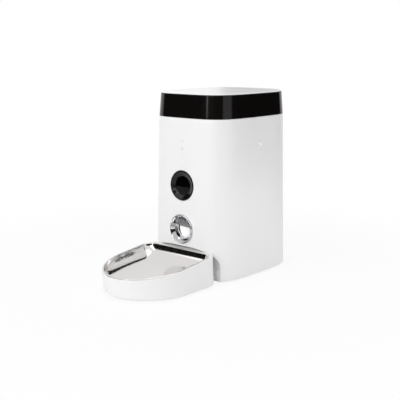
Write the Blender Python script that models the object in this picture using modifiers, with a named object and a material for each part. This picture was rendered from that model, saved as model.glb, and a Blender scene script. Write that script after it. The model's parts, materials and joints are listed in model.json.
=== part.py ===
"""Pet feeder with camera: tapered tower, lift-off lid, metering wheel, outlet and bowl tray.

The front faces -Y, +Z is up, and the origin lies on the floor under the middle of the whole part.
"""

import math

import bmesh
import bpy
from mathutils import Vector

MM = 0.001

# Clearances, overruns and facet counts shared by all pieces
GAP = 0.3 * MM
OVERRUN = 4.0 * MM
MERGE = 0.01 * MM
TOWER_POINTS = 60
HOPPER_POINTS = 40
FINE, MEDIUM, COARSE = 32, 20, 12
SMOOTH_ANGLE = math.radians(35)

# Tower: outside at the floor line, and what it loses up to the lid seam and then over the lid band
FLOOR_WIDTH = 171.0 * MM
FLOOR_DEPTH = 217.0 * MM
SEAM_WIDTH_LOSS = 9.0 * MM
SEAM_DEPTH_LOSS = 11.0 * MM
BAND_WIDTH_LOSS = 4.5 * MM
BAND_DEPTH_LOSS = 6.0 * MM
TRAY_REACH = 156.7 * MM

# Heights, stacked from the recess upwards
RECESS_HEIGHT = 57.3 * MM
OUTLET_ABOVE_RECESS = 28.2 * MM
CUP_ABOVE_OUTLET = 45.5 * MM
LENS_ABOVE_OUTLET = 73.9 * MM
SENSOR_ABOVE_LENS = 49.6 * MM
FUNNEL_ABOVE_LENS = 55.6 * MM
LIGHT_ABOVE_LENS = 61.8 * MM
BUTTON_ABOVE_LENS = 64.3 * MM
MICROPHONE_ABOVE_LENS = 73.9 * MM
SEAM_ABOVE_LENS = 112.0 * MM
LID_RISE = 38.6 * MM
OUTLET_HEIGHT = RECESS_HEIGHT + OUTLET_ABOVE_RECESS
CUP_BOTTOM = OUTLET_HEIGHT + CUP_ABOVE_OUTLET
LENS_HEIGHT = OUTLET_HEIGHT + LENS_ABOVE_OUTLET
SENSOR_HEIGHT = LENS_HEIGHT + SENSOR_ABOVE_LENS
FUNNEL_TOP = LENS_HEIGHT + FUNNEL_ABOVE_LENS
LIGHT_HEIGHT = LENS_HEIGHT + LIGHT_ABOVE_LENS
BUTTON_HEIGHT = LENS_HEIGHT + BUTTON_ABOVE_LENS
MICROPHONE_HEIGHT = LENS_HEIGHT + MICROPHONE_ABOVE_LENS
SEAM_HEIGHT = LENS_HEIGHT + SEAM_ABOVE_LENS
BAND_HEIGHT = SEAM_HEIGHT + LID_RISE

# The tower's form
SEAM_WIDTH = FLOOR_WIDTH - SEAM_WIDTH_LOSS
SEAM_DEPTH = FLOOR_DEPTH - SEAM_DEPTH_LOSS
BAND_WIDTH = SEAM_WIDTH - BAND_WIDTH_LOSS
BAND_DEPTH = SEAM_DEPTH - BAND_DEPTH_LOSS
TOWER_SQUARENESS = 3.9
SHELL_WALL = 2.6 * MM
EDGE_SOFTENING = 1.0 * MM
BASE_LIFT = 2.7 * MM
TOWER_Y = TRAY_REACH / 2
FLOOR_FRONT = TOWER_Y - FLOOR_DEPTH / 2
FLOOR_REAR = TOWER_Y + FLOOR_DEPTH / 2
LEAN = math.atan(SEAM_DEPTH_LOSS / 2 / SEAM_HEIGHT)
ROUND_SQUARENESS = 2.0

# Recess under the front that takes the back of the tray
RECESS_SIDE = 11.0 * MM
RECESS_HALF_WIDTH = FLOOR_WIDTH / 2 - RECESS_SIDE
RECESS_DEPTH = 18.5 * MM
RECESS_SQUARENESS = 3.5

# Base plate, its posts, screws and feet
PLATE_THICKNESS = 3.5 * MM
POST_RADIUS = 4.2 * MM
POST_BORE = 1.9 * MM
POST_INSET = 6.0 * MM
POST_TOP = 30.0 * MM
RIB_THICKNESS = 2.4 * MM
POST_ANGLES = (-25.0, 50.0, 130.0, 205.0)
SCREW_HEAD_RADIUS = 3.3 * MM
SCREW_HEAD_HEIGHT = 1.8 * MM
SCREW_RADIUS = 1.5 * MM
SCREW_LENGTH = 20.0 * MM
FOOT_RADIUS = 8.0 * MM
FOOT_SUNK = 1.5 * MM
FOOT_SIDE_INSET = 18.5 * MM
FOOT_FRONT_INSET = 68.15 * MM
FOOT_REAR_INSET = 40.85 * MM
FOOT_X = FLOOR_WIDTH / 2 - FOOT_SIDE_INSET
FOOT_FRONT_Y = FLOOR_FRONT + FOOT_FRONT_INSET
FOOT_REAR_Y = FLOOR_REAR - FOOT_REAR_INSET

# Camera, along the leaning front face
BEZEL_RADIUS = 25.3 * MM
BEZEL_PROUD = 0.8 * MM
BEZEL_LIP = 1.6 * MM
BEZEL_DISH = 2.4 * MM
BEZEL_BARREL = 21.0 * MM
BEZEL_DEPTH = 8.5 * MM
WINDOW_RADIUS = 16.0 * MM
WINDOW_THICKNESS = 1.6 * MM
LENS_RADIUS = 7.2 * MM
LENS_DOME = 1.2 * MM
LENS_DOME_SHARES = (0.0, 0.5, 1.0)
CAMERA_BOARD_RADIUS = 18.0 * MM
CAMERA_BOARD_DEPTH = 15.0 * MM
BOARD_THICKNESS = 1.6 * MM
INFRARED_LED_RADIUS = 1.8 * MM
INFRARED_LED_RING = 13.0 * MM
INFRARED_LED_COUNT = 6
CAMERA_CUP_WALL = 1.5 * MM
CAMERA_CUP_DEPTH = 19.5 * MM

# Outlet collar, flap and chute
COLLAR_RADIUS = 25.0 * MM
COLLAR_PROUD = 3.0 * MM
COLLAR_LIP = 2.0 * MM
COLLAR_CREST_STEPS = 3
COLLAR_SPIGOT = 21.6 * MM
COLLAR_BORE = 17.6 * MM
COLLAR_BARREL = 20.9 * MM
COLLAR_DISH = 2.7 * MM
COLLAR_DISH_SHARES = (0.3, 0.65, 1.0)
COLLAR_DISH_POWER = 1.2
COLLAR_DEPTH = 14.0 * MM
FLAP_DEPTH = 4.1 * MM
FLAP_RISE = 14.0 * MM
FLAP_RADIUS = 17.1 * MM
FLAP_EDGE = 6.0 * MM
FLAP_SHOULDER = 11.0 * MM
FLAP_THICKNESS = 1.6 * MM
FLAP_ARC_STEPS = 6
FLAP_EYE = 2.1 * MM
FLAP_PIN_RADIUS = 1.0 * MM
FLAP_PIN_SEAT = 2.0 * MM
CHUTE_SLOPE = math.radians(43)
CHUTE_BORE = 14.6 * MM
CHUTE_WALL = 2.0 * MM

# Metering cup, wheel, shaft and drive
CUP_FLOOR = 2.5 * MM
CUP_HEIGHT = 34.0 * MM
CUP_RADIUS = 55.5 * MM
CUP_WALL = 2.5 * MM
DROP_OFFSET = 34.0 * MM
WHEEL_HUB = 12.0 * MM
WHEEL_RADIUS = 53.5 * MM
WHEEL_HEIGHT = 28.0 * MM
WHEEL_CLEARANCE = 1.0 * MM
VANE_COUNT = 6
VANE_THICKNESS = 3.0 * MM
SHAFT_RADIUS = 4.0 * MM
SHAFT_BELOW_CUP = 29.0 * MM
SHAFT_BOTTOM = CUP_BOTTOM - SHAFT_BELOW_CUP
BUSH_RADIUS = 6.5 * MM
BUSH_COLLAR = 8.0 * MM
BUSH_COLLAR_THICKNESS = 1.2 * MM
BUSH_LENGTH = 9.0 * MM
BOSS_RADIUS = 9.2 * MM
BOSS_LENGTH = 7.0 * MM
STIRRER_RADIUS = 38.0 * MM
STIRRER_FINGER = 4.0 * MM
STIRRER_HEIGHT = 7.0 * MM
STIRRER_COUNT = 3
FEED_OFFSET = 28.0 * MM
FEED_RADIUS = 24.0 * MM
GEAR_MODULE = 1.25 * MM
WHEEL_GEAR_TEETH = 30
PINION_TEETH = 12
PRESSURE_ANGLE = math.radians(25)
ADDENDUM_SHARE = 0.85
DEDENDUM_SHARE = 1.2
BACKLASH = 0.4 * MM
FLANK_SHARES = (0.0, 0.45, 1.0)
GEAR_THICKNESS = 6.0 * MM
GEAR_BELOW_CUP = 21.0 * MM
GEAR_BOTTOM = CUP_BOTTOM - GEAR_BELOW_CUP
PINION_OVERLAP = 1.0 * MM
MOTOR_SHAFT_RADIUS = 3.0 * MM
MOTOR_SHAFT_BELOW = 12.0 * MM
GEARBOX_RADIUS = 18.5 * MM
GEARBOX_LENGTH = 20.0 * MM
MOTOR_RADIUS = 12.0 * MM
MOTOR_LENGTH = 24.0 * MM
MOTOR_BOSS_RADIUS = 6.0 * MM
BRACKET_BELOW_CUP = 27.0 * MM
BRACKET_BOTTOM = CUP_BOTTOM - BRACKET_BELOW_CUP
BRACKET_THICKNESS = 2.5 * MM
BRACKET_HALF_WIDTH = 33.0 * MM
BRACKET_FRONT = 18.0 * MM
BRACKET_BACK = 48.0 * MM
BRACKET_POST_RADIUS = 4.0 * MM
BRACKET_POST_X = 27.0 * MM
BRACKET_POST_FRONT = 12.0 * MM
BRACKET_POST_BACK = 33.0 * MM

# Hopper
HOPPER_SIDE_ROOM = 15.0 * MM
HOPPER_HALF_WIDTH = SEAM_WIDTH / 2 - HOPPER_SIDE_ROOM
HOPPER_FRONT = 20.0 * MM
HOPPER_BACK = 5.0 * MM
HOPPER_WALL = 2.2 * MM
HOPPER_FLOOR = 2.5 * MM
FLANGE_DROP = 3.0 * MM
FLANGE_THICKNESS = 2.4 * MM

# Lid release: button, latch and spring on each side
BUTTON_RADIUS = 8.2 * MM
BUTTON_SUNK = 0.4 * MM
BUTTON_THICKNESS = 4.0 * MM
BUTTON_DISH = 1.8 * MM
BUTTON_DISH_STEPS = 4
BUTTON_TRAVEL = 2.5 * MM
STEM_RADIUS = 4.0 * MM
SOCKET_DEPTH = 1.0 * MM
ARM_THICKNESS = 3.0 * MM
ARM_WIDTH = 12.0 * MM
ARM_CLEARANCE = 3.5 * MM
ARM_BELOW_BUTTON = 9.7 * MM
ARM_ABOVE_SEAM = 5.2 * MM
ARM_BOTTOM = BUTTON_HEIGHT - ARM_BELOW_BUTTON
ARM_TOP = SEAM_HEIGHT + ARM_ABOVE_SEAM
NOSE_HEIGHT = 3.4 * MM
SPRING_POCKET_RADIUS = 5.6 * MM
SPRING_POCKET_DEPTH = 5.0 * MM
SPRING_RADIUS = 3.6 * MM
SPRING_WIRE = 0.45 * MM
SPRING_TURNS = 5
SPRING_TURN_POINTS = 6

# Lid
SEAM_GAP = 0.6 * MM
BAND_WALL = 2.6 * MM
PANEL_THICKNESS = 2.0 * MM
PANEL_SPIGOT = 6.0 * MM
PANEL_INSET = 0.2 * MM
BAND_EDGE = 0.4 * MM
LINER_WALL = 2.2 * MM
LINER_RISE = 10.2 * MM
LINER_TOP = SEAM_HEIGHT + LINER_RISE
LINER_PLATE = 2.5 * MM
SEAL_WIDTH = 4.0 * MM
DESICCANT_RADIUS = 32.0 * MM
DESICCANT_HEIGHT = 16.0 * MM
DESICCANT_WALL = 1.6 * MM
DESICCANT_COVER = 2.0 * MM
VENT_WIDTH = 2.0 * MM
VENT_PITCH = 5.0 * MM
VENT_COUNT = 7
VENT_FIELD_SHARE = 0.7

# Front indicators and electronics
PORT_RADIUS = 0.8 * MM
LIGHT_SLOT_HEIGHT = 4.4 * MM
LIGHT_SLOT_WIDTH = 1.6 * MM
BOOT_RADIUS = 3.6 * MM
INDICATOR_DEPTH = 4.0 * MM
PIPE_WIDTH = 5.0 * MM
PIPE_MARGIN = 3.0 * MM
INDICATOR_BOARD_WIDTH = 18.0 * MM
INDICATOR_BOARD_MARGIN = 5.0 * MM
MAIN_BOARD_SIDE_INSET = 31.5 * MM
MAIN_BOARD_FRONT_INSET = 82.15 * MM
MAIN_BOARD_X = MAIN_BOARD_SIDE_INSET - FLOOR_WIDTH / 2
MAIN_BOARD_Y = FLOOR_FRONT + MAIN_BOARD_FRONT_INSET
MAIN_BOARD_LENGTH = 74.0 * MM
MAIN_BOARD_HEIGHT = 62.0 * MM
MAIN_BOARD_SEAT = 3.0 * MM
GUIDE_HEIGHT = 22.0 * MM
GUIDE_WIDTH = 5.0 * MM
CHIP_SIZE = 14.0 * MM
CHIP_HEIGHT = 2.4 * MM
COIL_SIZE = 12.0 * MM
COIL_HEIGHT = 9.0 * MM
CHIP_PLACE_SHARES = (-0.33, 0.5)
COIL_PLACE_SHARES = (0.33, 0.75)
CAPACITOR_PLACE_SHARES = (0.33, 0.33)
SPEAKER_HEIGHT = 112.0 * MM
SPEAKER_RADIUS = 20.0 * MM
SPEAKER_FLANGE = 2.0 * MM
SPEAKER_CONE_DEPTH = 8.0 * MM
SPEAKER_MAGNET_RADIUS = 11.0 * MM
SPEAKER_DEPTH = 15.0 * MM
SPEAKER_SLOT_WIDTH = 2.0 * MM
SPEAKER_SLOT_PITCH = 4.6 * MM
SPEAKER_SLOT_COUNT = 7
SPEAKER_SLOT_FIELD = 17.0 * MM
INLET_HEIGHT = 62.0 * MM
INLET_SIDE = 20.0 * MM
INLET_RADIUS = 6.0 * MM
INLET_BODY_RADIUS = 8.0 * MM
INLET_BORE = 2.8 * MM
INLET_PIN = 1.0 * MM
INLET_DEPTH = 14.0 * MM
INLET_BACK = 2.0 * MM

# Battery compartment with D cells
CELL_RADIUS = 16.6 * MM
CELL_LENGTH = 58.5 * MM
CELL_CAP_RADIUS = 4.75 * MM
CELL_CAP_HEIGHT = 1.5 * MM
CELL_PITCH = 34.4 * MM
CELL_COUNT = 3
CELL_END_ROOM = 2.6 * MM
BATTERY_WALL = 2.0 * MM
BATTERY_REAR_INSET = 51.85 * MM
BATTERY_Y = FLOOR_REAR - BATTERY_REAR_INSET
CONTACT_THICKNESS = 0.6 * MM
CONTACT_BUMP = 3.0 * MM
CONTACT_HEIGHT = 20.0 * MM

# Bowl tray and bowl: outlines from above
TRAY_SIDE_GAP = 0.1 * MM
TRAY_HALF_WIDTH = RECESS_HALF_WIDTH - TRAY_SIDE_GAP
TRAY_FOOT_SPREAD = 2.0 * MM
TRAY_NOSE_LENGTH = 87.9 * MM
TRAY_NOSE_RAKE = 5.0 * MM
TRAY_CORNER = 22.8 * MM
TRAY_BACK_INSET = 9.2 * MM
TRAY_FLOOR = 2.4 * MM
TRAY_BELOW_RECESS = 3.9 * MM
TRAY_RIM_BACK = RECESS_HEIGHT - TRAY_BELOW_RECESS
RIM_SLOPE = 0.11
NOSE_POINTS = 22
CORNER_POINTS = 4
NECK_HALF_WIDTH = 40.0 * MM
NECK_BOTTOM = 7.0 * MM
NECK_BELOW_RECESS = 17.3 * MM
NECK_TOP = RECESS_HEIGHT - NECK_BELOW_RECESS
TONGUE_HALF_WIDTH = 26.0 * MM
TONGUE_THICKNESS = 3.0 * MM
TONGUE_LENGTH = 27.0 * MM
RAIL_WIDTH = 2.4 * MM
RAIL_LENGTH = 22.0 * MM
TRAY_FOOT_RADIUS = 6.0 * MM
TRAY_FOOT_X = 38.0 * MM
TRAY_FOOT_Y = -110.0 * MM
BOWL_MARGIN = 0.5 * MM
BOWL_BACK = 1.3 * MM
BOWL_CORNER = 20.0 * MM
BOWL_FLANGE = 4.2 * MM
BOWL_GAUGE = 0.8 * MM
BOWL_DEPTH = 25.0 * MM
BOWL_DRAFT = 4.0 * MM
BOWL_FILLET = 11.0 * MM
BOWL_FILLET_STEPS = 3

# Places worked out from the sizes above
RECESS_BACK = FLOOR_FRONT + RECESS_DEPTH
PLATE_TOP = BASE_LIFT + PLATE_THICKNESS
FRONT_LEAN_SHARE = math.tan(LEAN)
COLLAR_BACK_Y = FLOOR_FRONT + OUTLET_HEIGHT * FRONT_LEAN_SHARE + COLLAR_DEPTH
CHUTE_MOUTH = OUTLET_HEIGHT - COLLAR_BORE + CHUTE_BORE / math.cos(CHUTE_SLOPE) + GAP
DROP_Y = COLLAR_BACK_Y + (CUP_BOTTOM - CHUTE_MOUTH) / math.tan(CHUTE_SLOPE)
WHEEL_Y = DROP_Y + DROP_OFFSET
CUP_TOP = CUP_BOTTOM + CUP_HEIGHT
HOPPER_BOTTOM = CUP_TOP + GAP
HOPPER_TOP = SEAM_HEIGHT - FLANGE_DROP
WHEEL_BOTTOM = CUP_BOTTOM + CUP_FLOOR + WHEEL_CLEARANCE
STIRRER_BOTTOM = HOPPER_BOTTOM + HOPPER_FLOOR + WHEEL_CLEARANCE
SHAFT_TOP = STIRRER_BOTTOM + STIRRER_HEIGHT
GEAR_CENTRES = GEAR_MODULE * (WHEEL_GEAR_TEETH + PINION_TEETH) / 2
MOTOR_Y = WHEEL_Y + GEAR_CENTRES
MOTOR_TOP = BRACKET_BOTTOM - GAP
LINER_BOTTOM = SEAM_HEIGHT + SEAM_GAP
LINER_PLATE_BOTTOM = LINER_TOP - LINER_PLATE
ARM_INNER = HOPPER_HALF_WIDTH + ARM_CLEARANCE
ARM_OUTER = ARM_INNER + ARM_THICKNESS
BATTERY_HALF_WIDTH = CELL_PITCH * CELL_COUNT / 2 + GAP
BATTERY_HALF_LENGTH = CELL_LENGTH / 2 + CELL_CAP_HEIGHT + CELL_END_ROOM
CELL_HEIGHT = PLATE_TOP + GAP + CELL_RADIUS
BATTERY_ROOF = CELL_HEIGHT + CELL_RADIUS + 2 * GAP
TRAY_BACK_Y = RECESS_BACK - TRAY_BACK_INSET
TRAY_CENTRE_Y = FLOOR_FRONT - TRAY_REACH + TRAY_NOSE_LENGTH
BOWL_BACK_Y = FLOOR_FRONT - BOWL_BACK
TONGUE_BOTTOM = PLATE_TOP + GAP

# Finishes: colour, roughness and metallic value
WHITE_PLASTIC = ("white_plastic", (0.86, 0.86, 0.87), 0.28, 0.0)
BLACK_GLOSS = ("black_gloss", (0.008, 0.007, 0.007), 0.06, 0.0)
SMOKED = ("smoked_window", (0.012, 0.012, 0.013), 0.04, 0.0)
CHROME = ("chrome", (0.80, 0.80, 0.81), 0.06, 1.0)
STEEL = ("polished_steel", (0.66, 0.65, 0.64), 0.14, 1.0)
SHAFT_STEEL = ("shaft_steel", (0.55, 0.55, 0.56), 0.3, 1.0)
GREY_PLASTIC = ("grey_plastic", (0.16, 0.16, 0.17), 0.45, 0.0)
PALE_PLASTIC = ("pale_plastic", (0.70, 0.71, 0.72), 0.4, 0.0)
DARK_PLASTIC = ("dark_plastic", (0.03, 0.03, 0.032), 0.5, 0.0)
GEAR_PLASTIC = ("gear_plastic", (0.78, 0.76, 0.68), 0.4, 0.0)
RUBBER = ("rubber", (0.05, 0.05, 0.052), 0.8, 0.0)
SILICONE = ("silicone", (0.62, 0.64, 0.66), 0.6, 0.0)
BRONZE = ("bronze", (0.55, 0.36, 0.16), 0.35, 1.0)
BOARD_GREEN = ("circuit_board", (0.02, 0.16, 0.07), 0.45, 0.0)
LIGHT_PIPE = ("light_pipe", (0.75, 0.78, 0.82), 0.1, 0.0)
CELL_WRAP = ("cell_wrap", (0.10, 0.11, 0.13), 0.35, 0.4)
MOTOR_STEEL = ("motor_steel", (0.42, 0.43, 0.45), 0.35, 1.0)


def clear_scene():
    """Removes every object that the file holds."""
    for item in list(bpy.data.objects):
        bpy.data.objects.remove(item, do_unlink=True)


def collection(name):
    """Gives the collection of that name, made when it is missing."""
    group = bpy.data.collections.get(name)
    if group is None:
        group = bpy.data.collections.new(name)
        bpy.context.scene.collection.children.link(group)
    return group


def material(finish):
    """Gives the material for a finish."""
    name, colour, roughness, metallic = finish
    found = bpy.data.materials.get(name)
    if found:
        return found
    made = bpy.data.materials.new(name)
    made.use_nodes = True
    shader = made.node_tree.nodes["Principled BSDF"]
    shader.inputs["Base Color"].default_value = (*colour, 1)
    shader.inputs["Roughness"].default_value = roughness
    shader.inputs["Metallic"].default_value = metallic
    made.diffuse_color = (*colour, 1)
    return made


def place(name, mesh, finish, seat=(0, 0, 0), turn=(0, 0, 0), parent=None):
    """Makes an object: a part when it has a finish, or else a cutter."""
    mesh.shade_smooth()
    mesh.set_sharp_from_angle(angle=SMOOTH_ANGLE)
    item = bpy.data.objects.new(name, mesh)
    if finish is None:
        item.hide_render = True
        item.display_type = "WIRE"
        collection("cutters").objects.link(item)
    else:
        mesh.materials.append(material(finish))
        collection("pet_feeder_with_camera").objects.link(item)
    item.location = seat
    item.rotation_euler = turn
    item.parent = parent
    return item


def to_mesh(name, shape):
    """Turns a bmesh into a mesh with its faces outwards."""
    bmesh.ops.recalc_face_normals(shape, faces=shape.faces)
    mesh = bpy.data.meshes.new(name)
    shape.to_mesh(mesh)
    shape.free()
    return mesh


def block(name, finish, low, high, seat=(0, 0, 0), turn=(0, 0, 0), parent=None):
    """A box between two corners."""
    size = [b - a for a, b in zip(low, high)]
    middle = [(a + b) / 2 for a, b in zip(low, high)]
    shape = bmesh.new()
    bmesh.ops.create_cube(shape, size=1)
    bmesh.ops.scale(shape, vec=size, verts=shape.verts)
    bmesh.ops.translate(shape, vec=middle, verts=shape.verts)
    return place(name, to_mesh(name, shape), finish, seat, turn, parent)


def rod(name, finish, radius, low, high, sides, seat=(0, 0, 0), turn=(0, 0, 0), parent=None):
    """A cylinder on its own Z axis between two heights."""
    shape = bmesh.new()
    bmesh.ops.create_cone(shape, cap_ends=True, segments=sides, radius1=radius, radius2=radius,
                          depth=high - low)
    bmesh.ops.translate(shape, vec=(0, 0, (low + high) / 2), verts=shape.verts)
    return place(name, to_mesh(name, shape), finish, seat, turn, parent)


def turned(name, finish, profile, sides, seat=(0, 0, 0), turn=(0, 0, 0), parent=None):
    """Turns a profile of (radius, height) points about its own Z axis; it may touch the axis once."""
    count = len(profile)
    on_axis = [i for i in range(count) if profile[i][0] == 0 and profile[(i + 1) % count][0] == 0]
    if on_axis:
        profile = profile[on_axis[0] + 1:] + profile[:on_axis[0] + 1]
    area = sum(profile[i][0] * profile[(i + 1) % count][1] - profile[(i + 1) % count][0] * profile[i][1]
               for i in range(count))
    if area > 0:
        profile = profile[::-1]
    edges = [(i, i + 1) for i in range(count - 1)]
    if not on_axis:
        edges.append((count - 1, 0))
    mesh = bpy.data.meshes.new(name)
    mesh.from_pydata([(radius, 0, height) for radius, height in profile], edges, [])
    item = place(name, mesh, finish, seat, turn, parent)
    screw = item.modifiers.new("turn", "SCREW")
    screw.axis = "Z"
    screw.steps = sides
    screw.render_steps = sides
    screw.use_merge_vertices = True
    screw.merge_threshold = MERGE
    screw.use_smooth_shade = True
    return item


def flat(name, finish, loops, low, high, seat=(0, 0, 0), turn=(0, 0, 0), parent=None):
    """A flat outline, with any holes, between two heights on its own Z axis."""
    outline = bpy.data.curves.new(name + "_outline", "CURVE")
    outline.dimensions = "2D"
    outline.fill_mode = "BOTH"
    outline.extrude = (high - low) / 2
    for loop in loops:
        spline = outline.splines.new("POLY")
        spline.points.add(len(loop) - 1)
        for point, (x, y) in zip(spline.points, loop):
            point.co = (x, y, 0, 1)
        spline.use_cyclic_u = True
    rough = bpy.data.objects.new(name + "_outline", outline)
    bpy.context.scene.collection.objects.link(rough)
    evaluated = rough.evaluated_get(bpy.context.evaluated_depsgraph_get())
    filled = bpy.data.meshes.new_from_object(evaluated)
    shape = bmesh.new()
    shape.from_mesh(filled)
    bmesh.ops.remove_doubles(shape, verts=shape.verts, dist=MERGE)
    bmesh.ops.translate(shape, vec=(0, 0, (low + high) / 2), verts=shape.verts)
    bpy.data.objects.remove(rough)
    bpy.data.curves.remove(outline)
    bpy.data.meshes.remove(filled)
    return place(name, to_mesh(name, shape), finish, seat, turn, parent)


def lofted(name, finish, rings, capped=True):
    """A skin through rings of points, each ring with as many points as the first."""
    shape = bmesh.new()
    first = shape.faces.new([shape.verts.new(point) for point in rings[0]])
    edges = list(first.edges)
    loose = list(first.verts)
    for ring in rings[1:]:
        grown = bmesh.ops.extrude_edge_only(shape, edges=edges)["geom"]
        fresh = [item for item in grown if isinstance(item, bmesh.types.BMVert)]
        edges = [item for item in grown if isinstance(item, bmesh.types.BMEdge)]
        order = {vert: place_in_ring for place_in_ring, vert in enumerate(loose)}
        matched = [None] * len(loose)
        for vert in fresh:
            below = next(edge.other_vert(vert) for edge in vert.link_edges if edge.other_vert(vert) in order)
            matched[order[below]] = vert
        for vert, point in zip(matched, ring):
            vert.co = point
        loose = matched
    if capped:
        shape.faces.new(loose)
    return place(name, to_mesh(name, shape), finish)


def carve(target, *tools, operation="DIFFERENCE"):
    """Cuts tools out of a target, or joins them to it."""
    for tool in tools:
        step = target.modifiers.new("join" if operation == "UNION" else "cut", "BOOLEAN")
        step.operation = operation
        step.solver = "EXACT"
        step.object = tool
    return target


def join(target, *tools):
    """Joins tools to a target."""
    return carve(target, *tools, operation="UNION")


def mix(low, high, share):
    """A value between two others."""
    return low + (high - low) * share


def superellipse(half_x, half_y, squareness, count, centre_y=0.0):
    """A rounded outline between an ellipse and a rectangle."""
    power = 2 / squareness
    points = []
    for step in range(count):
        cosine = math.cos(2 * math.pi * step / count)
        sine = math.sin(2 * math.pi * step / count)
        x = half_x * math.copysign(abs(cosine) ** power, cosine)
        y = half_y * math.copysign(abs(sine) ** power, sine)
        points.append((x, centre_y + y))
    return points


def circle(radius, count, centre_x=0.0, centre_y=0.0):
    """Points of a circle."""
    angles = [2 * math.pi * step / count for step in range(count)]
    return [(centre_x + radius * math.cos(a), centre_y + radius * math.sin(a)) for a in angles]


def at_height(loop, height):
    """Lifts a flat outline to a height."""
    return [(x, y, height) for x, y in loop]


def tower_halves(height):
    """Half the tower's outer width and depth at a height."""
    if height <= SEAM_HEIGHT:
        share = height / SEAM_HEIGHT
        return mix(FLOOR_WIDTH, SEAM_WIDTH, share) / 2, mix(FLOOR_DEPTH, SEAM_DEPTH, share) / 2
    share = (height - SEAM_HEIGHT) / (BAND_HEIGHT - SEAM_HEIGHT)
    return mix(SEAM_WIDTH, BAND_WIDTH, share) / 2, mix(SEAM_DEPTH, BAND_DEPTH, share) / 2


def tower_ring(height, inset=0.0):
    """The tower's outline at a height, drawn in by an inset."""
    half_x, half_y = tower_halves(height)
    loop = superellipse(half_x - inset, half_y - inset, TOWER_SQUARENESS, TOWER_POINTS, TOWER_Y)
    return at_height(loop, height)


def wall_point(angle, inset):
    """A point inside the tower's wall near the floor, in by an inset, seen at an angle from the middle."""
    half_x, half_y = tower_halves(BASE_LIFT)
    power = 2 / TOWER_SQUARENESS
    cosine, sine = math.cos(math.radians(angle)), math.sin(math.radians(angle))
    point = Vector(((half_x - SHELL_WALL) * math.copysign(abs(cosine) ** power, cosine),
                    (half_y - SHELL_WALL) * math.copysign(abs(sine) ** power, sine), 0))
    point -= point.normalized() * inset
    return point.x, point.y + TOWER_Y


def face_frames():
    """Empties on the leaning front and rear faces: local -Y points out of the tower."""
    front = bpy.data.objects.new("front_face", None)
    front.location = (0, FLOOR_FRONT, 0)
    front.rotation_euler = (-LEAN, 0, 0)
    rear = bpy.data.objects.new("rear_face", None)
    rear.location = (0, FLOOR_REAR, 0)
    rear.rotation_euler = (-LEAN, 0, math.pi)
    for frame in (front, rear):
        collection("pet_feeder_with_camera").objects.link(frame)
    return front, rear


INTO_FACE = (-math.pi / 2, 0, 0)
TOWARDS_RIGHT = (0, math.pi / 2, 0)
TOWARDS_LEFT = (0, -math.pi / 2, 0)


def foot_places():
    """Where the tower's four feet stand."""
    return [(x, y) for y in (FOOT_FRONT_Y, FOOT_REAR_Y) for x in (-FOOT_X, FOOT_X)]


def recess_tool(name, offset):
    """The arch-shaped space under the front, grown by an offset."""
    arch = superellipse(RECESS_HALF_WIDTH + offset, RECESS_HEIGHT + offset, RECESS_SQUARENESS, TOWER_POINTS)
    reach = RECESS_DEPTH + OVERRUN
    return flat(name, None, [arch], -offset, reach, (0, RECESS_BACK, 0), (math.pi / 2, 0, 0))


def shell_posts(shell):
    """Screw posts that a rib ties to the wall."""
    for number, angle in enumerate(POST_ANGLES, 1):
        x, y = wall_point(angle, POST_INSET)
        heading = math.atan2(y - TOWER_Y, x)
        bottom = PLATE_TOP + GAP
        post = rod(f"post_{number}", None, POST_RADIUS, bottom, POST_TOP, COARSE, (x, y, 0))
        rib = block(f"rib_{number}", None, (0, -RIB_THICKNESS / 2, bottom),
                    (POST_INSET + SHELL_WALL / 2, RIB_THICKNESS / 2, POST_TOP - OVERRUN), (x, y, 0),
                    (0, 0, heading))
        bore = rod(f"post_bore_{number}", None, POST_BORE, BASE_LIFT, POST_TOP - OVERRUN, COARSE, (x, y, 0))
        join(shell, rib, post)
        carve(shell, bore)


def shell_ports(shell, front, rear):
    """Holes for the camera, outlet, indicators, buttons, speaker and power inlet."""
    through = SHELL_WALL + OVERRUN
    camera = rod("camera_port", None, BEZEL_RADIUS + GAP, -OVERRUN, through, FINE,
                 (0, 0, LENS_HEIGHT), INTO_FACE, front)
    outlet = rod("outlet_port", None, COLLAR_SPIGOT + GAP, -OVERRUN, through, FINE,
                 (0, 0, OUTLET_HEIGHT), INTO_FACE, front)
    microphone = rod("microphone_port", None, PORT_RADIUS, -OVERRUN, through, COARSE,
                     (0, 0, MICROPHONE_HEIGHT), INTO_FACE, front)
    sensor = rod("sensor_port", None, PORT_RADIUS + GAP, -OVERRUN, through, COARSE,
                 (0, 0, SENSOR_HEIGHT), INTO_FACE, front)
    slot = block("light_port", None, (-LIGHT_SLOT_WIDTH / 2 - GAP, -OVERRUN, -LIGHT_SLOT_HEIGHT / 2 - GAP),
                 (LIGHT_SLOT_WIDTH / 2 + GAP, through, LIGHT_SLOT_HEIGHT / 2 + GAP),
                 (0, 0, LIGHT_HEIGHT), (0, 0, 0), front)
    inlet = rod("inlet_port", None, INLET_RADIUS + GAP, -OVERRUN, through, COARSE,
                (INLET_SIDE, 0, INLET_HEIGHT), INTO_FACE, rear)
    buttons = rod("button_port", None, BUTTON_RADIUS + GAP, -FLOOR_WIDTH, FLOOR_WIDTH, MEDIUM,
                  (0, TOWER_Y, BUTTON_HEIGHT), TOWARDS_RIGHT)
    carve(shell, camera, outlet, microphone, sensor, slot, inlet, buttons)
    for number in range(SPEAKER_SLOT_COUNT):
        x = (number - (SPEAKER_SLOT_COUNT - 1) / 2) * SPEAKER_SLOT_PITCH
        half = math.sqrt(SPEAKER_SLOT_FIELD ** 2 - x ** 2)
        vent = block(f"speaker_slot_{number}", None, (x - SPEAKER_SLOT_WIDTH / 2, -OVERRUN, -half),
                     (x + SPEAKER_SLOT_WIDTH / 2, through, half), (0, 0, SPEAKER_HEIGHT), (0, 0, 0), rear)
        carve(shell, vent)


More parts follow.
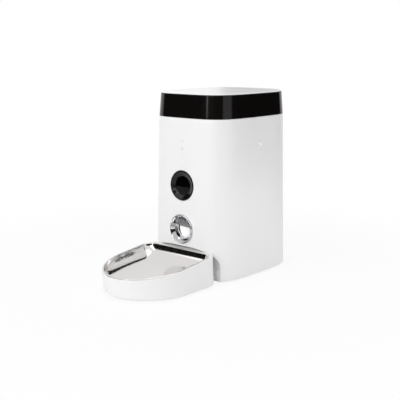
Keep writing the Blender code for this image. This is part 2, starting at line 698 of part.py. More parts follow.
def tongue_slot():
    """The slot in the recess that the tray's tongue slides into."""
    return block("tongue_slot", None,
                 (-TONGUE_HALF_WIDTH - 2 * GAP, RECESS_BACK - OVERRUN, TONGUE_BOTTOM - GAP),
                 (TONGUE_HALF_WIDTH + 2 * GAP, RECESS_BACK + SHELL_WALL + OVERRUN,
                  TONGUE_BOTTOM + TONGUE_THICKNESS + 2 * GAP))


def body_shell(front, rear):
    """The tapered housing, open at the top and bottom, with the recess folded into its wall."""
    shell = lofted("body_shell", WHITE_PLASTIC, [
        tower_ring(BASE_LIFT, EDGE_SOFTENING),
        tower_ring(BASE_LIFT + EDGE_SOFTENING),
        tower_ring(SEAM_HEIGHT)])
    inside = lofted("shell_inside", None, [
        tower_ring(BASE_LIFT - OVERRUN, SHELL_WALL),
        tower_ring(SEAM_HEIGHT + OVERRUN, SHELL_WALL)])
    carve(inside, recess_tool("recess_wall", SHELL_WALL))
    carve(shell, recess_tool("recess", 0.0), inside)
    shell_posts(shell)
    shell_ports(shell, front, rear)
    carve(shell, tongue_slot())


def base_plate():
    """The floor of the tower, with rails for the tray's tongue and guides for the main board."""
    plate = lofted("base_plate", PALE_PLASTIC, [
        tower_ring(BASE_LIFT, SHELL_WALL + GAP),
        tower_ring(PLATE_TOP, SHELL_WALL + GAP)])
    carve(plate, recess_tool("recess_edge", SHELL_WALL + GAP))
    opening = block("battery_opening", None,
                    (-BATTERY_HALF_WIDTH, BATTERY_Y - BATTERY_HALF_LENGTH, BASE_LIFT - OVERRUN),
                    (BATTERY_HALF_WIDTH, BATTERY_Y + BATTERY_HALF_LENGTH, PLATE_TOP + OVERRUN))
    carve(plate, opening)
    for number, angle in enumerate(POST_ANGLES, 1):
        x, y = wall_point(angle, POST_INSET)
        hole = rod(f"screw_hole_{number}", None, SCREW_RADIUS + GAP, BASE_LIFT - OVERRUN,
                   PLATE_TOP + OVERRUN,
                   COARSE, (x, y, 0))
        sink = rod(f"screw_sink_{number}", None, SCREW_HEAD_RADIUS + GAP, BASE_LIFT - OVERRUN,
                   BASE_LIFT + SCREW_HEAD_HEIGHT + GAP, COARSE, (x, y, 0))
        carve(plate, hole, sink)
    for number, (x, y) in enumerate(foot_places(), 1):
        pocket = rod(f"foot_pocket_{number}", None, FOOT_RADIUS + GAP, BASE_LIFT - OVERRUN,
                     BASE_LIFT + FOOT_SUNK + GAP, MEDIUM, (x, y, 0))
        carve(plate, pocket)
    rail_start = RECESS_BACK + SHELL_WALL + 2 * GAP
    rail_inner = TONGUE_HALF_WIDTH + 2 * GAP
    for side, name in ((-1, "left"), (1, "right")):
        near, far = sorted((side * rail_inner, side * (rail_inner + RAIL_WIDTH)))
        rail = block(f"tongue_rail_{name}", None, (near, rail_start, PLATE_TOP - PLATE_THICKNESS / 2),
                     (far, rail_start + RAIL_LENGTH, TONGUE_BOTTOM + TONGUE_THICKNESS))
        join(plate, rail)
    slot_half = BOARD_THICKNESS / 2 + GAP
    for end, name in ((-1, "front"), (1, "back")):
        edge = MAIN_BOARD_Y + end * (MAIN_BOARD_LENGTH / 2 + GAP)
        near, far = sorted((edge - end * MAIN_BOARD_SEAT, edge + end * GUIDE_WIDTH))
        guide = block(f"board_guide_{name}", None,
                      (MAIN_BOARD_X - GUIDE_WIDTH, near, PLATE_TOP - PLATE_THICKNESS / 2),
                      (MAIN_BOARD_X + GUIDE_WIDTH, far, PLATE_TOP + GUIDE_HEIGHT))
        low, high = sorted((edge, edge - end * (MAIN_BOARD_SEAT + OVERRUN)))
        slot = block(f"board_slot_{name}", None, (MAIN_BOARD_X - slot_half, low, PLATE_TOP),
                     (MAIN_BOARD_X + slot_half, high, PLATE_TOP + GUIDE_HEIGHT + OVERRUN))
        join(plate, guide)
        carve(plate, slot)


def base_fixings():
    """Screws and rubber feet under the base plate."""
    head_bottom = BASE_LIFT + GAP
    head_top = BASE_LIFT + SCREW_HEAD_HEIGHT
    profile = [(0, head_bottom), (SCREW_HEAD_RADIUS, head_bottom), (SCREW_HEAD_RADIUS, head_top),
               (SCREW_RADIUS, head_top), (SCREW_RADIUS, head_bottom + SCREW_LENGTH),
               (0, head_bottom + SCREW_LENGTH)]
    for number, angle in enumerate(POST_ANGLES, 1):
        x, y = wall_point(angle, POST_INSET)
        turned(f"base_screw_{number}", SHAFT_STEEL, profile, COARSE, (x, y, 0))
    foot_top = BASE_LIFT + FOOT_SUNK
    foot = [(0, 0), (FOOT_RADIUS - EDGE_SOFTENING, 0), (FOOT_RADIUS, EDGE_SOFTENING),
            (FOOT_RADIUS, foot_top),
            (0, foot_top)]
    for number, (x, y) in enumerate(foot_places(), 1):
        turned(f"foot_{number}", RUBBER, foot, MEDIUM, (x, y, 0))


def camera(front):
    """Bezel, window, lens, board with infrared lamps, and the cup behind them."""
    seat = (0, 0, LENS_HEIGHT)
    window_front = BEZEL_DISH
    window_back = BEZEL_DISH + WINDOW_THICKNESS
    bezel = [
        (BEZEL_RADIUS, SHELL_WALL), (BEZEL_RADIUS, 0), (BEZEL_RADIUS - BEZEL_PROUD, -BEZEL_PROUD),
        (BEZEL_RADIUS - BEZEL_LIP, -BEZEL_PROUD), (WINDOW_RADIUS + GAP, window_front - GAP),
        (WINDOW_RADIUS + GAP, window_back + GAP), (LENS_RADIUS + BEZEL_LIP, window_back + GAP),
        (LENS_RADIUS + BEZEL_LIP, window_back + BEZEL_LIP),
        (BEZEL_BARREL - BEZEL_LIP, window_back + BEZEL_LIP),
        (BEZEL_BARREL - BEZEL_LIP, BEZEL_DEPTH), (BEZEL_BARREL, BEZEL_DEPTH), (BEZEL_BARREL, SHELL_WALL)]
    turned("camera_bezel", BLACK_GLOSS, bezel, FINE, seat, INTO_FACE, front)
    window = [(0, window_front), (WINDOW_RADIUS, window_front), (WINDOW_RADIUS, window_back),
              (0, window_back)]
    turned("camera_window", SMOKED, window, FINE, seat, INTO_FACE, front)
    board_front = CAMERA_BOARD_DEPTH
    lens_front = window_back + 2 * GAP
    lens = [(LENS_RADIUS * share, lens_front + LENS_DOME * share ** 2) for share in LENS_DOME_SHARES]
    lens += [(LENS_RADIUS, board_front - GAP), (0, board_front - GAP)]
    turned("camera_lens", DARK_PLASTIC, lens, MEDIUM, seat, INTO_FACE, front)
    board = rod("camera_board", BOARD_GREEN, CAMERA_BOARD_RADIUS, board_front,
                board_front + BOARD_THICKNESS,
                MEDIUM, seat, INTO_FACE, front)
    for number in range(INFRARED_LED_COUNT):
        angle = 2 * math.pi * number / INFRARED_LED_COUNT
        spot = (INFRARED_LED_RING * math.cos(angle), 0, LENS_HEIGHT + INFRARED_LED_RING * math.sin(angle))
        lamp = rod(f"infrared_lamp_{number}", None, INFRARED_LED_RADIUS, window_back + 2 * BEZEL_LIP,
                   board_front + BOARD_THICKNESS / 2, COARSE, spot, INTO_FACE, front)
        join(board, lamp)
    cup_inner = BEZEL_BARREL + GAP
    cup_outer = cup_inner + CAMERA_CUP_WALL
    cup_front = SHELL_WALL + 2 * GAP
    ledge = CAMERA_BOARD_RADIUS - CAMERA_CUP_WALL
    board_back = board_front + BOARD_THICKNESS + GAP
    cup_back = cup_front + CAMERA_CUP_DEPTH
    cup = [(cup_inner, cup_front), (cup_outer, cup_front), (cup_outer, cup_back), (0, cup_back),
           (0, cup_back - CAMERA_CUP_WALL), (ledge, cup_back - CAMERA_CUP_WALL), (ledge, board_back),
           (cup_inner, board_back)]
    turned("camera_housing", DARK_PLASTIC, cup, FINE, seat, INTO_FACE, front)


def indicators(front):
    """Microphone boot, light pipe and the small board behind the front marks."""
    pipe_front = SHELL_WALL + 2 * GAP
    pipe_back = pipe_front + INDICATOR_DEPTH
    boot = [(PORT_RADIUS, pipe_front), (BOOT_RADIUS, pipe_front), (BOOT_RADIUS, pipe_back),
            (PORT_RADIUS, pipe_back)]
    turned("microphone_boot", RUBBER, boot, COARSE, (0, 0, MICROPHONE_HEIGHT), INTO_FACE, front)
    pipe = block("status_light_pipe", LIGHT_PIPE,
                 (-PIPE_WIDTH / 2, pipe_front, SENSOR_HEIGHT - PIPE_MARGIN),
                 (PIPE_WIDTH / 2, pipe_back, LIGHT_HEIGHT + PIPE_MARGIN), (0, 0, 0), (0, 0, 0), front)
    tab = block("light_tab", None, (-LIGHT_SLOT_WIDTH / 2, 0, -LIGHT_SLOT_HEIGHT / 2),
                (LIGHT_SLOT_WIDTH / 2, pipe_front + INDICATOR_DEPTH / 2, LIGHT_SLOT_HEIGHT / 2),
                (0, 0, LIGHT_HEIGHT), (0, 0, 0), front)
    pin = rod("sensor_tab", None, PORT_RADIUS, 0, pipe_front + INDICATOR_DEPTH / 2, COARSE,
              (0, 0, SENSOR_HEIGHT), INTO_FACE, front)
    join(pipe, tab, pin)
    block("indicator_board", BOARD_GREEN,
          (-INDICATOR_BOARD_WIDTH / 2, pipe_back + GAP, SENSOR_HEIGHT - INDICATOR_BOARD_MARGIN),
          (INDICATOR_BOARD_WIDTH / 2, pipe_back + GAP + BOARD_THICKNESS,
           MICROPHONE_HEIGHT + INDICATOR_BOARD_MARGIN),
          (0, 0, 0), (0, 0, 0), front)


def outlet(front):
    """Chrome collar, hinged flap with its pin, and the sloping chute behind them."""
    seat = (0, 0, OUTLET_HEIGHT)
    crest = COLLAR_RADIUS - COLLAR_LIP
    rise = COLLAR_PROUD + COLLAR_DISH
    collar = [(COLLAR_RADIUS, -GAP)]
    for step in range(1, COLLAR_CREST_STEPS + 1):
        angle = math.pi / 2 * step / COLLAR_CREST_STEPS
        collar.append((crest + COLLAR_LIP * math.cos(angle), -COLLAR_PROUD * math.sin(angle)))
    collar += [(mix(crest, COLLAR_BORE, share), rise * share ** COLLAR_DISH_POWER - COLLAR_PROUD)
               for share in COLLAR_DISH_SHARES]
    collar += [(COLLAR_BORE, COLLAR_DEPTH - GAP), (COLLAR_BARREL, COLLAR_DEPTH - GAP),
               (COLLAR_BARREL, SHELL_WALL + GAP), (COLLAR_SPIGOT, SHELL_WALL), (COLLAR_SPIGOT, -GAP)]
    ring = turned("outlet_collar", CHROME, collar, FINE, seat, INTO_FACE, front)
    hinge = (0, FLAP_DEPTH, OUTLET_HEIGHT + FLAP_RISE)
    half_pin = math.sqrt(COLLAR_BORE ** 2 - FLAP_RISE ** 2) + FLAP_PIN_SEAT
    pin_hole = rod("flap_pin_hole", None, FLAP_PIN_RADIUS + GAP, -half_pin - GAP, half_pin + GAP, COARSE,
                   hinge, TOWARDS_RIGHT, front)
    carve(ring, pin_hole)
    rod("flap_pin", SHAFT_STEEL, FLAP_PIN_RADIUS, -half_pin, half_pin, COARSE, hinge, TOWARDS_RIGHT, front)
    outlet_flap(hinge, front)
    chute(seat, front)


def outlet_flap(hinge, front):
    """The flap: a slice of a disc with sloping shoulders up to the eye on its pin."""
    half_eye = math.sqrt(FLAP_RADIUS ** 2 - (FLAP_RISE + FLAP_EYE) ** 2)
    low, high = math.asin(FLAP_EDGE / FLAP_RADIUS), math.asin(FLAP_SHOULDER / FLAP_RADIUS)
    angles = [mix(low, high, step / FLAP_ARC_STEPS) for step in range(FLAP_ARC_STEPS + 1)]
    right = [(FLAP_RADIUS * math.cos(a), FLAP_RADIUS * math.sin(a) - FLAP_RISE) for a in angles]
    right.append((half_eye, -FLAP_EYE / 2))
    outline = right + [(-x, z) for x, z in reversed(right)]
    flap = flat("outlet_flap", GREY_PLASTIC, [outline], -FLAP_THICKNESS / 2, FLAP_THICKNESS / 2, hinge,
                (math.pi / 2, 0, 0), front)
    eye = rod("flap_eye", None, FLAP_EYE, -half_eye, half_eye, COARSE, hinge, TOWARDS_RIGHT, front)
    eye_bore = rod("flap_eye_bore", None, FLAP_PIN_RADIUS + GAP, -COLLAR_BORE, COLLAR_BORE, COARSE, hinge,
                   TOWARDS_RIGHT, front)
    join(flap, eye)
    carve(flap, eye_bore)


def chute(seat, front):
    """The tube that slopes from the metering cup down to the collar's bore."""
    mouth = (0, COLLAR_BACK_Y, CHUTE_MOUTH)
    heading = (CHUTE_SLOPE - math.pi / 2, 0, 0)
    outer = CHUTE_BORE + CHUTE_WALL
    length = (CUP_BOTTOM - CHUTE_MOUTH) / math.sin(CHUTE_SLOPE)
    spare = outer + OVERRUN
    tube = rod("chute", WHITE_PLASTIC, outer, -spare, length + spare, MEDIUM, mouth, heading)
    bore = rod("chute_bore", None, CHUTE_BORE, -2 * spare, length + 2 * spare, MEDIUM, mouth, heading)
    reach = 2 * spare
    front_cut = block("chute_front_cut", None, (-reach, -2 * reach, -reach),
                      (reach, COLLAR_DEPTH + GAP, reach),
                      seat, (0, 0, 0), front)
    top_cut = block("chute_top_cut", None, (-reach, -reach, -GAP), (reach, reach, reach),
                    (0, DROP_Y, CUP_BOTTOM))
    carve(tube, bore, front_cut, top_cut)


def metering_cup():
    """The round housing under the hopper, with its drop hole, shaft boss and rim."""
    seat = (0, WHEEL_Y, 0)
    floor_top = CUP_BOTTOM + CUP_FLOOR
    bore = BUSH_RADIUS + GAP
    profile = [
        (bore, floor_top), (CUP_RADIUS, floor_top), (CUP_RADIUS, CUP_TOP), (CUP_RADIUS + CUP_WALL, CUP_TOP),
        (CUP_RADIUS + CUP_WALL, CUP_BOTTOM), (BOSS_RADIUS, CUP_BOTTOM),
        (BOSS_RADIUS, CUP_BOTTOM - BOSS_LENGTH),
        (bore, CUP_BOTTOM - BOSS_LENGTH)]
    cup = turned("metering_cup", PALE_PLASTIC, profile, FINE, seat)
    drop = rod("drop_hole", None, CHUTE_BORE, CUP_BOTTOM - OVERRUN, floor_top + OVERRUN, MEDIUM,
               (0, DROP_Y, 0))
    carve(cup, drop)


def star(hub, tip, thickness, count, turn=0.0):
    """An outline of a hub with straight arms."""
    points = []
    half = thickness / 2
    root = math.sqrt(hub ** 2 - half ** 2)
    reach = math.sqrt(tip ** 2 - half ** 2)
    between = math.pi / count
    for arm in range(count):
        angle = turn + 2 * math.pi * arm / count
        along = Vector((math.cos(angle), math.sin(angle)))
        across = Vector((-along.y, along.x))
        for distance, side in ((root, -half), (reach, -half), (reach, half), (root, half)):
            point = along * distance + across * side
            points.append((point.x, point.y))
        middle = angle + between
        points.append((hub * math.cos(middle), hub * math.sin(middle)))
    return points


def gear_outline(teeth, module, turn):
    """An involute gear outline."""
    pitch = module * teeth / 2
    base = pitch * math.cos(PRESSURE_ANGLE)
    tip = pitch + module * ADDENDUM_SHARE
    root = pitch - module * DEDENDUM_SHARE
    involute = math.tan(PRESSURE_ANGLE) - PRESSURE_ANGLE
    half_tooth = math.pi / (2 * teeth) - BACKLASH / (4 * pitch)

    def half_angle(radius):
        rolled = math.acos(min(1.0, base / radius))
        return half_tooth + involute - (math.tan(rolled) - rolled)

    start = max(base, root)
    flank = [mix(start, tip, share) for share in FLANK_SHARES]
    side = [(root, half_angle(start))] if root < base else []
    side += [(radius, half_angle(radius)) for radius in flank]
    points = []
    for tooth in range(teeth):
        middle = turn + 2 * math.pi * tooth / teeth
        for radius, spread in side:
            points.append((radius * math.cos(middle - spread), radius * math.sin(middle - spread)))
        for radius, spread in reversed(side):
            points.append((radius * math.cos(middle + spread), radius * math.sin(middle + spread)))
    return points


def metering_drive():
    """Everything on the wheel's shaft, and the motor that turns it."""
    seat = (0, WHEEL_Y, 0)
    hole = circle(SHAFT_RADIUS + GAP, MEDIUM)
    flat("metering_rotor", SILICONE, [star(WHEEL_HUB, WHEEL_RADIUS, VANE_THICKNESS, VANE_COUNT), hole],
         WHEEL_BOTTOM, WHEEL_BOTTOM + WHEEL_HEIGHT, seat)
    flat("stirrer", GEAR_PLASTIC, [star(WHEEL_HUB, STIRRER_RADIUS, STIRRER_FINGER, STIRRER_COUNT), hole],
         STIRRER_BOTTOM, SHAFT_TOP - WHEEL_CLEARANCE, seat)
    rod("rotor_shaft", SHAFT_STEEL, SHAFT_RADIUS, SHAFT_BOTTOM, SHAFT_TOP, MEDIUM, seat)
    collar_bottom = CUP_BOTTOM - BOSS_LENGTH - GAP - BUSH_COLLAR_THICKNESS
    collar_top = collar_bottom + BUSH_COLLAR_THICKNESS
    bush = [(SHAFT_RADIUS + GAP, collar_bottom), (BUSH_COLLAR, collar_bottom), (BUSH_COLLAR, collar_top),
            (BUSH_RADIUS, collar_top), (BUSH_RADIUS, collar_top + BUSH_LENGTH),
            (SHAFT_RADIUS + GAP, collar_top + BUSH_LENGTH)]
    turned("shaft_bush", BRONZE, bush, MEDIUM, seat)
    tooth = 2 * math.pi / WHEEL_GEAR_TEETH
    gear = gear_outline(WHEEL_GEAR_TEETH, GEAR_MODULE, math.pi / 2 + tooth / 2)
    flat("rotor_gear", GEAR_PLASTIC, [gear, hole], GEAR_BOTTOM, GEAR_BOTTOM + GEAR_THICKNESS, seat)
    motor_seat = (0, MOTOR_Y, 0)
    pinion_top = GEAR_BOTTOM + GEAR_THICKNESS + PINION_OVERLAP
    pinion = flat("motor_pinion", GEAR_PLASTIC, [gear_outline(PINION_TEETH, GEAR_MODULE, -math.pi / 2)],
                  GEAR_BOTTOM - PINION_OVERLAP, pinion_top, motor_seat)
    spindle = rod("pinion_spindle", None, MOTOR_SHAFT_RADIUS, MOTOR_TOP - MOTOR_SHAFT_BELOW,
                  pinion_top + PINION_OVERLAP, COARSE, motor_seat)
    join(pinion, spindle)
    gearbox_bottom = MOTOR_TOP - GEARBOX_LENGTH
    motor_bottom = gearbox_bottom - MOTOR_LENGTH
    boss_top = BRACKET_BOTTOM + BRACKET_THICKNESS
    bore = MOTOR_SHAFT_RADIUS + GAP
    motor = [(bore, boss_top), (MOTOR_BOSS_RADIUS, boss_top), (MOTOR_BOSS_RADIUS, MOTOR_TOP),
             (GEARBOX_RADIUS, MOTOR_TOP), (GEARBOX_RADIUS, gearbox_bottom), (MOTOR_RADIUS, gearbox_bottom),
             (MOTOR_RADIUS, motor_bottom), (0, motor_bottom), (0, MOTOR_TOP - MOTOR_SHAFT_BELOW - GAP),
             (bore, MOTOR_TOP - MOTOR_SHAFT_BELOW - GAP)]
    turned("gearmotor", MOTOR_STEEL, motor, MEDIUM, motor_seat)
    corners = [(-BRACKET_HALF_WIDTH, -BRACKET_FRONT), (BRACKET_HALF_WIDTH, -BRACKET_FRONT),
               (BRACKET_HALF_WIDTH, BRACKET_BACK), (-BRACKET_HALF_WIDTH, BRACKET_BACK)]
    motor_hole = circle(MOTOR_BOSS_RADIUS + GAP, COARSE, 0.0, GEAR_CENTRES)
    bracket = flat("motor_bracket", PALE_PLASTIC, [corners, hole, motor_hole],
                   BRACKET_BOTTOM, BRACKET_BOTTOM + BRACKET_THICKNESS, seat)
    for x in (-BRACKET_POST_X, BRACKET_POST_X):
        for y in (-BRACKET_POST_FRONT, BRACKET_POST_BACK):
            post = rod(f"bracket_post_{x > 0}_{y > 0}", None, BRACKET_POST_RADIUS,
                       BRACKET_BOTTOM + BRACKET_THICKNESS / 2,
                       CUP_BOTTOM - GAP, COARSE, (x, WHEEL_Y + y, 0))
            join(bracket, post)


def hopper_ring(height, inset):
    """The hopper's outline: round at the bottom, as the tower above the funnel."""
    half_x, half_y = tower_halves(HOPPER_TOP)
    front = TOWER_Y - half_y + HOPPER_FRONT - SHELL_WALL
    back = TOWER_Y + half_y - SHELL_WALL - HOPPER_BACK
    share = min(1.0, (height - HOPPER_BOTTOM) / (FUNNEL_TOP - HOPPER_BOTTOM))
    round_radius = CUP_RADIUS + CUP_WALL
    half_width = mix(round_radius, HOPPER_HALF_WIDTH, share) - inset
    half_depth = mix(round_radius, (back - front) / 2, share) - inset
    centre = mix(WHEEL_Y, (back + front) / 2, share)
    squareness = mix(ROUND_SQUARENESS, TOWER_SQUARENESS, share)
    return at_height(superellipse(half_width, half_depth, squareness, HOPPER_POINTS, centre), height)


def hopper():
    """The food bin with its funnel, floor hole, flange, spring pockets and latch slots."""
    bin_shell = lofted("hopper", PALE_PLASTIC, [
        hopper_ring(HOPPER_BOTTOM, 0.0), hopper_ring(FUNNEL_TOP, 0.0), hopper_ring(HOPPER_TOP, 0.0)])
    flange_ring = SHELL_WALL + GAP
    flange = lofted("hopper_flange", None, [
        tower_ring(HOPPER_TOP - FLANGE_THICKNESS, flange_ring), tower_ring(HOPPER_TOP, flange_ring)])
    join(bin_shell, flange)
    inside = lofted("hopper_inside", None, [
        hopper_ring(HOPPER_BOTTOM + HOPPER_FLOOR, HOPPER_WALL), hopper_ring(FUNNEL_TOP, HOPPER_WALL),
        hopper_ring(HOPPER_TOP + OVERRUN, HOPPER_WALL)])
    pocket_floor = HOPPER_HALF_WIDTH - SPRING_POCKET_DEPTH
    pocket_tools = []
    for turn, side in ((TOWARDS_RIGHT, "right"), (TOWARDS_LEFT, "left")):
        seat = (0, TOWER_Y, BUTTON_HEIGHT)
        wall = rod(f"pocket_wall_{side}", None, SPRING_POCKET_RADIUS + HOPPER_WALL,
                   pocket_floor - HOPPER_WALL,
                   HOPPER_HALF_WIDTH + OVERRUN, MEDIUM, seat, turn)
        carve(inside, wall)
        pocket_tools.append(rod(f"pocket_{side}", None, SPRING_POCKET_RADIUS, pocket_floor,
                                HOPPER_HALF_WIDTH + OVERRUN, MEDIUM, seat, turn))
    carve(bin_shell, inside, *pocket_tools)
    feed = rod("feed_hole", None, FEED_RADIUS, HOPPER_BOTTOM - OVERRUN,
               HOPPER_BOTTOM + HOPPER_FLOOR + OVERRUN,
               MEDIUM, (0, WHEEL_Y + FEED_OFFSET, 0))
    shaft = rod("hopper_shaft_hole", None, SHAFT_RADIUS + GAP, HOPPER_BOTTOM - OVERRUN,
                HOPPER_BOTTOM + HOPPER_FLOOR + OVERRUN, MEDIUM, (0, WHEEL_Y, 0))
    carve(bin_shell, feed, shaft)
    slot_inner = ARM_INNER - BUTTON_TRAVEL - GAP
    half_slot = ARM_WIDTH / 2 + 2 * GAP
    for side, name in ((1, "right"), (-1, "left")):
        near, far = sorted((side * slot_inner, side * (ARM_OUTER + 2 * GAP)))
        slot = block(f"latch_slot_{name}", None,
                     (near, TOWER_Y - half_slot, HOPPER_TOP - FLANGE_THICKNESS - OVERRUN),
                     (far, TOWER_Y + half_slot, HOPPER_TOP + OVERRUN))
        carve(bin_shell, slot)


def spring_path(start, end):
    """Points of a coil with a flat half turn at each end."""
    points = []
    total = SPRING_TURNS * SPRING_TURN_POINTS
    for step in range(total + 1):
        angle = 2 * math.pi * step / SPRING_TURN_POINTS
        share = min(max((step - SPRING_TURN_POINTS / 2) / (total - SPRING_TURN_POINTS), 0.0), 1.0)
        lift = SPRING_WIRE * (min(step, SPRING_TURN_POINTS / 2) / (SPRING_TURN_POINTS / 2)
                              + max(step - total + SPRING_TURN_POINTS / 2, 0) / (SPRING_TURN_POINTS / 2))
        height = mix(start, end - 2 * SPRING_WIRE, share) + lift
        points.append((SPRING_RADIUS * math.cos(angle), SPRING_RADIUS * math.sin(angle), height))
    return points


def spring(name, start, end, seat, turn):
    """A coil spring of round wire between two heights on its own Z axis."""
    curve = bpy.data.curves.new(name, "CURVE")
    curve.dimensions = "3D"
    curve.bevel_depth = SPRING_WIRE
    curve.bevel_resolution = 1
    curve.use_fill_caps = True
    points = spring_path(start + SPRING_WIRE, end - SPRING_WIRE)
    spline = curve.splines.new("POLY")
    spline.points.add(len(points) - 1)
    for point, place_on_coil in zip(spline.points, points):
        point.co = (*place_on_coil, 1)
    item = bpy.data.objects.new(name, curve)
    curve.materials.append(material(SHAFT_STEEL))
    collection("pet_feeder_with_camera").objects.link(item)
    item.location = seat
    item.rotation_euler = turn
    return item


def lid_release():
    """Button, latch and return spring on the right and left sides."""
    half_outer = tower_halves(BUTTON_HEIGHT)[0]
    face = half_outer - BUTTON_SUNK
    skirt = face - BUTTON_THICKNESS
    stem_end = skirt + SOCKET_DEPTH
    dish_shares = [step / BUTTON_DISH_STEPS for step in range(BUTTON_DISH_STEPS + 1)]
    dish = [(mix(BUTTON_RADIUS - EDGE_SOFTENING, 0.0, share),
             face - BUTTON_DISH * math.sin(math.pi / 2 * share))
            for share in dish_shares]
    socket = STEM_RADIUS + GAP
    cap = [(BUTTON_RADIUS, skirt), (BUTTON_RADIUS, face - EDGE_SOFTENING / 2)] + dish + [
        (0, stem_end + GAP), (socket, stem_end + GAP), (socket, skirt)]
    nose_tip = tower_halves(LINER_BOTTOM)[0] - BAND_WALL - GAP - LINER_WALL - 2 * GAP
    pocket_floor = HOPPER_HALF_WIDTH - SPRING_POCKET_DEPTH
    for name, turn in (("right", TOWARDS_RIGHT), ("left", TOWARDS_LEFT)):
        seat = (0, TOWER_Y, BUTTON_HEIGHT)
        turned(f"release_button_{name}", WHITE_PLASTIC, cap, MEDIUM, seat, turn)
        side = 1 if name == "right" else -1
        near, far = sorted((side * ARM_INNER, side * ARM_OUTER))
        arm = block(f"latch_{name}", GREY_PLASTIC, (near, -ARM_WIDTH / 2, ARM_BOTTOM),
                    (far, ARM_WIDTH / 2, ARM_TOP), (0, TOWER_Y, 0))
        stem = rod(f"latch_stem_{name}", None, STEM_RADIUS, ARM_INNER + ARM_THICKNESS / 2, stem_end, COARSE,
                   seat, turn)
        near, far = sorted((side * (ARM_INNER + ARM_THICKNESS / 2), side * nose_tip))
        nose = block(f"latch_nose_{name}", None, (near, -ARM_WIDTH / 2 + GAP, ARM_TOP - NOSE_HEIGHT),
                     (far, ARM_WIDTH / 2 - GAP, ARM_TOP - GAP), (0, TOWER_Y, 0))
        join(arm, stem, nose)
        spring(f"latch_spring_{name}", pocket_floor + GAP, ARM_INNER - GAP, seat, turn)


def lid():
    """Band, top panel, liner, seal and the drying box under the lid."""
    band = lofted("lid_band", BLACK_GLOSS, [
        tower_ring(LINER_BOTTOM), tower_ring(BAND_HEIGHT - BAND_EDGE),
        tower_ring(BAND_HEIGHT, BAND_EDGE / 2)])
    hollow = lofted("band_inside", None, [
        tower_ring(LINER_BOTTOM - OVERRUN, BAND_WALL), tower_ring(BAND_HEIGHT + OVERRUN, BAND_WALL)])
    carve(band, hollow)
    spigot = BAND_WALL + GAP
    slab = BAND_HEIGHT + GAP
    lofted("lid_top_panel", WHITE_PLASTIC, [
        tower_ring(BAND_HEIGHT - PANEL_SPIGOT, spigot + GAP),
        at_height_of(tower_ring(BAND_HEIGHT, spigot), slab),
        at_height_of(tower_ring(BAND_HEIGHT, PANEL_INSET), slab),
        at_height_of(tower_ring(BAND_HEIGHT, PANEL_INSET), slab + PANEL_THICKNESS - EDGE_SOFTENING),
        at_height_of(tower_ring(BAND_HEIGHT, PANEL_INSET + EDGE_SOFTENING), slab + PANEL_THICKNESS)])
    liner = lofted("lid_liner", PALE_PLASTIC, [
        tower_ring(LINER_BOTTOM, spigot), tower_ring(LINER_TOP, spigot)])
    liner_inside = lofted("liner_inside", None, [
        tower_ring(LINER_BOTTOM - OVERRUN, spigot + LINER_WALL),
        tower_ring(LINER_PLATE_BOTTOM, spigot + LINER_WALL)])
    carve(liner, liner_inside)
    half_catch = ARM_WIDTH / 2 + GAP
    catch = block("liner_catch", None, (-FLOOR_WIDTH, -half_catch, ARM_TOP - NOSE_HEIGHT - GAP),
                  (FLOOR_WIDTH, half_catch, ARM_TOP + GAP), (0, TOWER_Y, 0))
    carve(liner, catch)
    seal_bottom = HOPPER_TOP + GAP
    half_x, half_y = tower_halves(HOPPER_TOP)
    front = TOWER_Y - half_y + HOPPER_FRONT - SHELL_WALL
    back = TOWER_Y + half_y - SHELL_WALL - HOPPER_BACK
    seal_loops = [superellipse(HOPPER_HALF_WIDTH + GAP - inset, (back - front) / 2 + GAP - inset,
                               TOWER_SQUARENESS,
                               HOPPER_POINTS, (back + front) / 2) for inset in (0.0, SEAL_WIDTH)]
    flat("lid_seal", SILICONE, seal_loops, seal_bottom, LINER_PLATE_BOTTOM - GAP)
    box_top = LINER_PLATE_BOTTOM - GAP
    box_bottom = box_top - DESICCANT_HEIGHT
    inner = DESICCANT_RADIUS - DESICCANT_WALL
    drying = [(0, box_top), (DESICCANT_RADIUS, box_top), (DESICCANT_RADIUS, box_bottom),
              (inner, box_bottom),
              (inner, box_top - DESICCANT_WALL), (0, box_top - DESICCANT_WALL)]
    seat = (0, TOWER_Y, 0)
    turned("desiccant_box", PALE_PLASTIC, drying, MEDIUM, seat)
    cover = rod("desiccant_cover", GREY_PLASTIC, inner - GAP, box_bottom, box_bottom + DESICCANT_COVER,
                MEDIUM, seat)
    for number in range(VENT_COUNT):
        x = (number - (VENT_COUNT - 1) / 2) * VENT_PITCH
        half = math.sqrt((inner * VENT_FIELD_SHARE) ** 2 - x ** 2)
        vent = block(f"desiccant_vent_{number}", None, (x - VENT_WIDTH / 2, -half, box_bottom - OVERRUN),
                     (x + VENT_WIDTH / 2, half, box_bottom + DESICCANT_COVER + OVERRUN), seat)
        carve(cover, vent)


def at_height_of(ring, height):
    """The same ring at another height."""
    return [(x, y, height) for x, y, _ in ring]


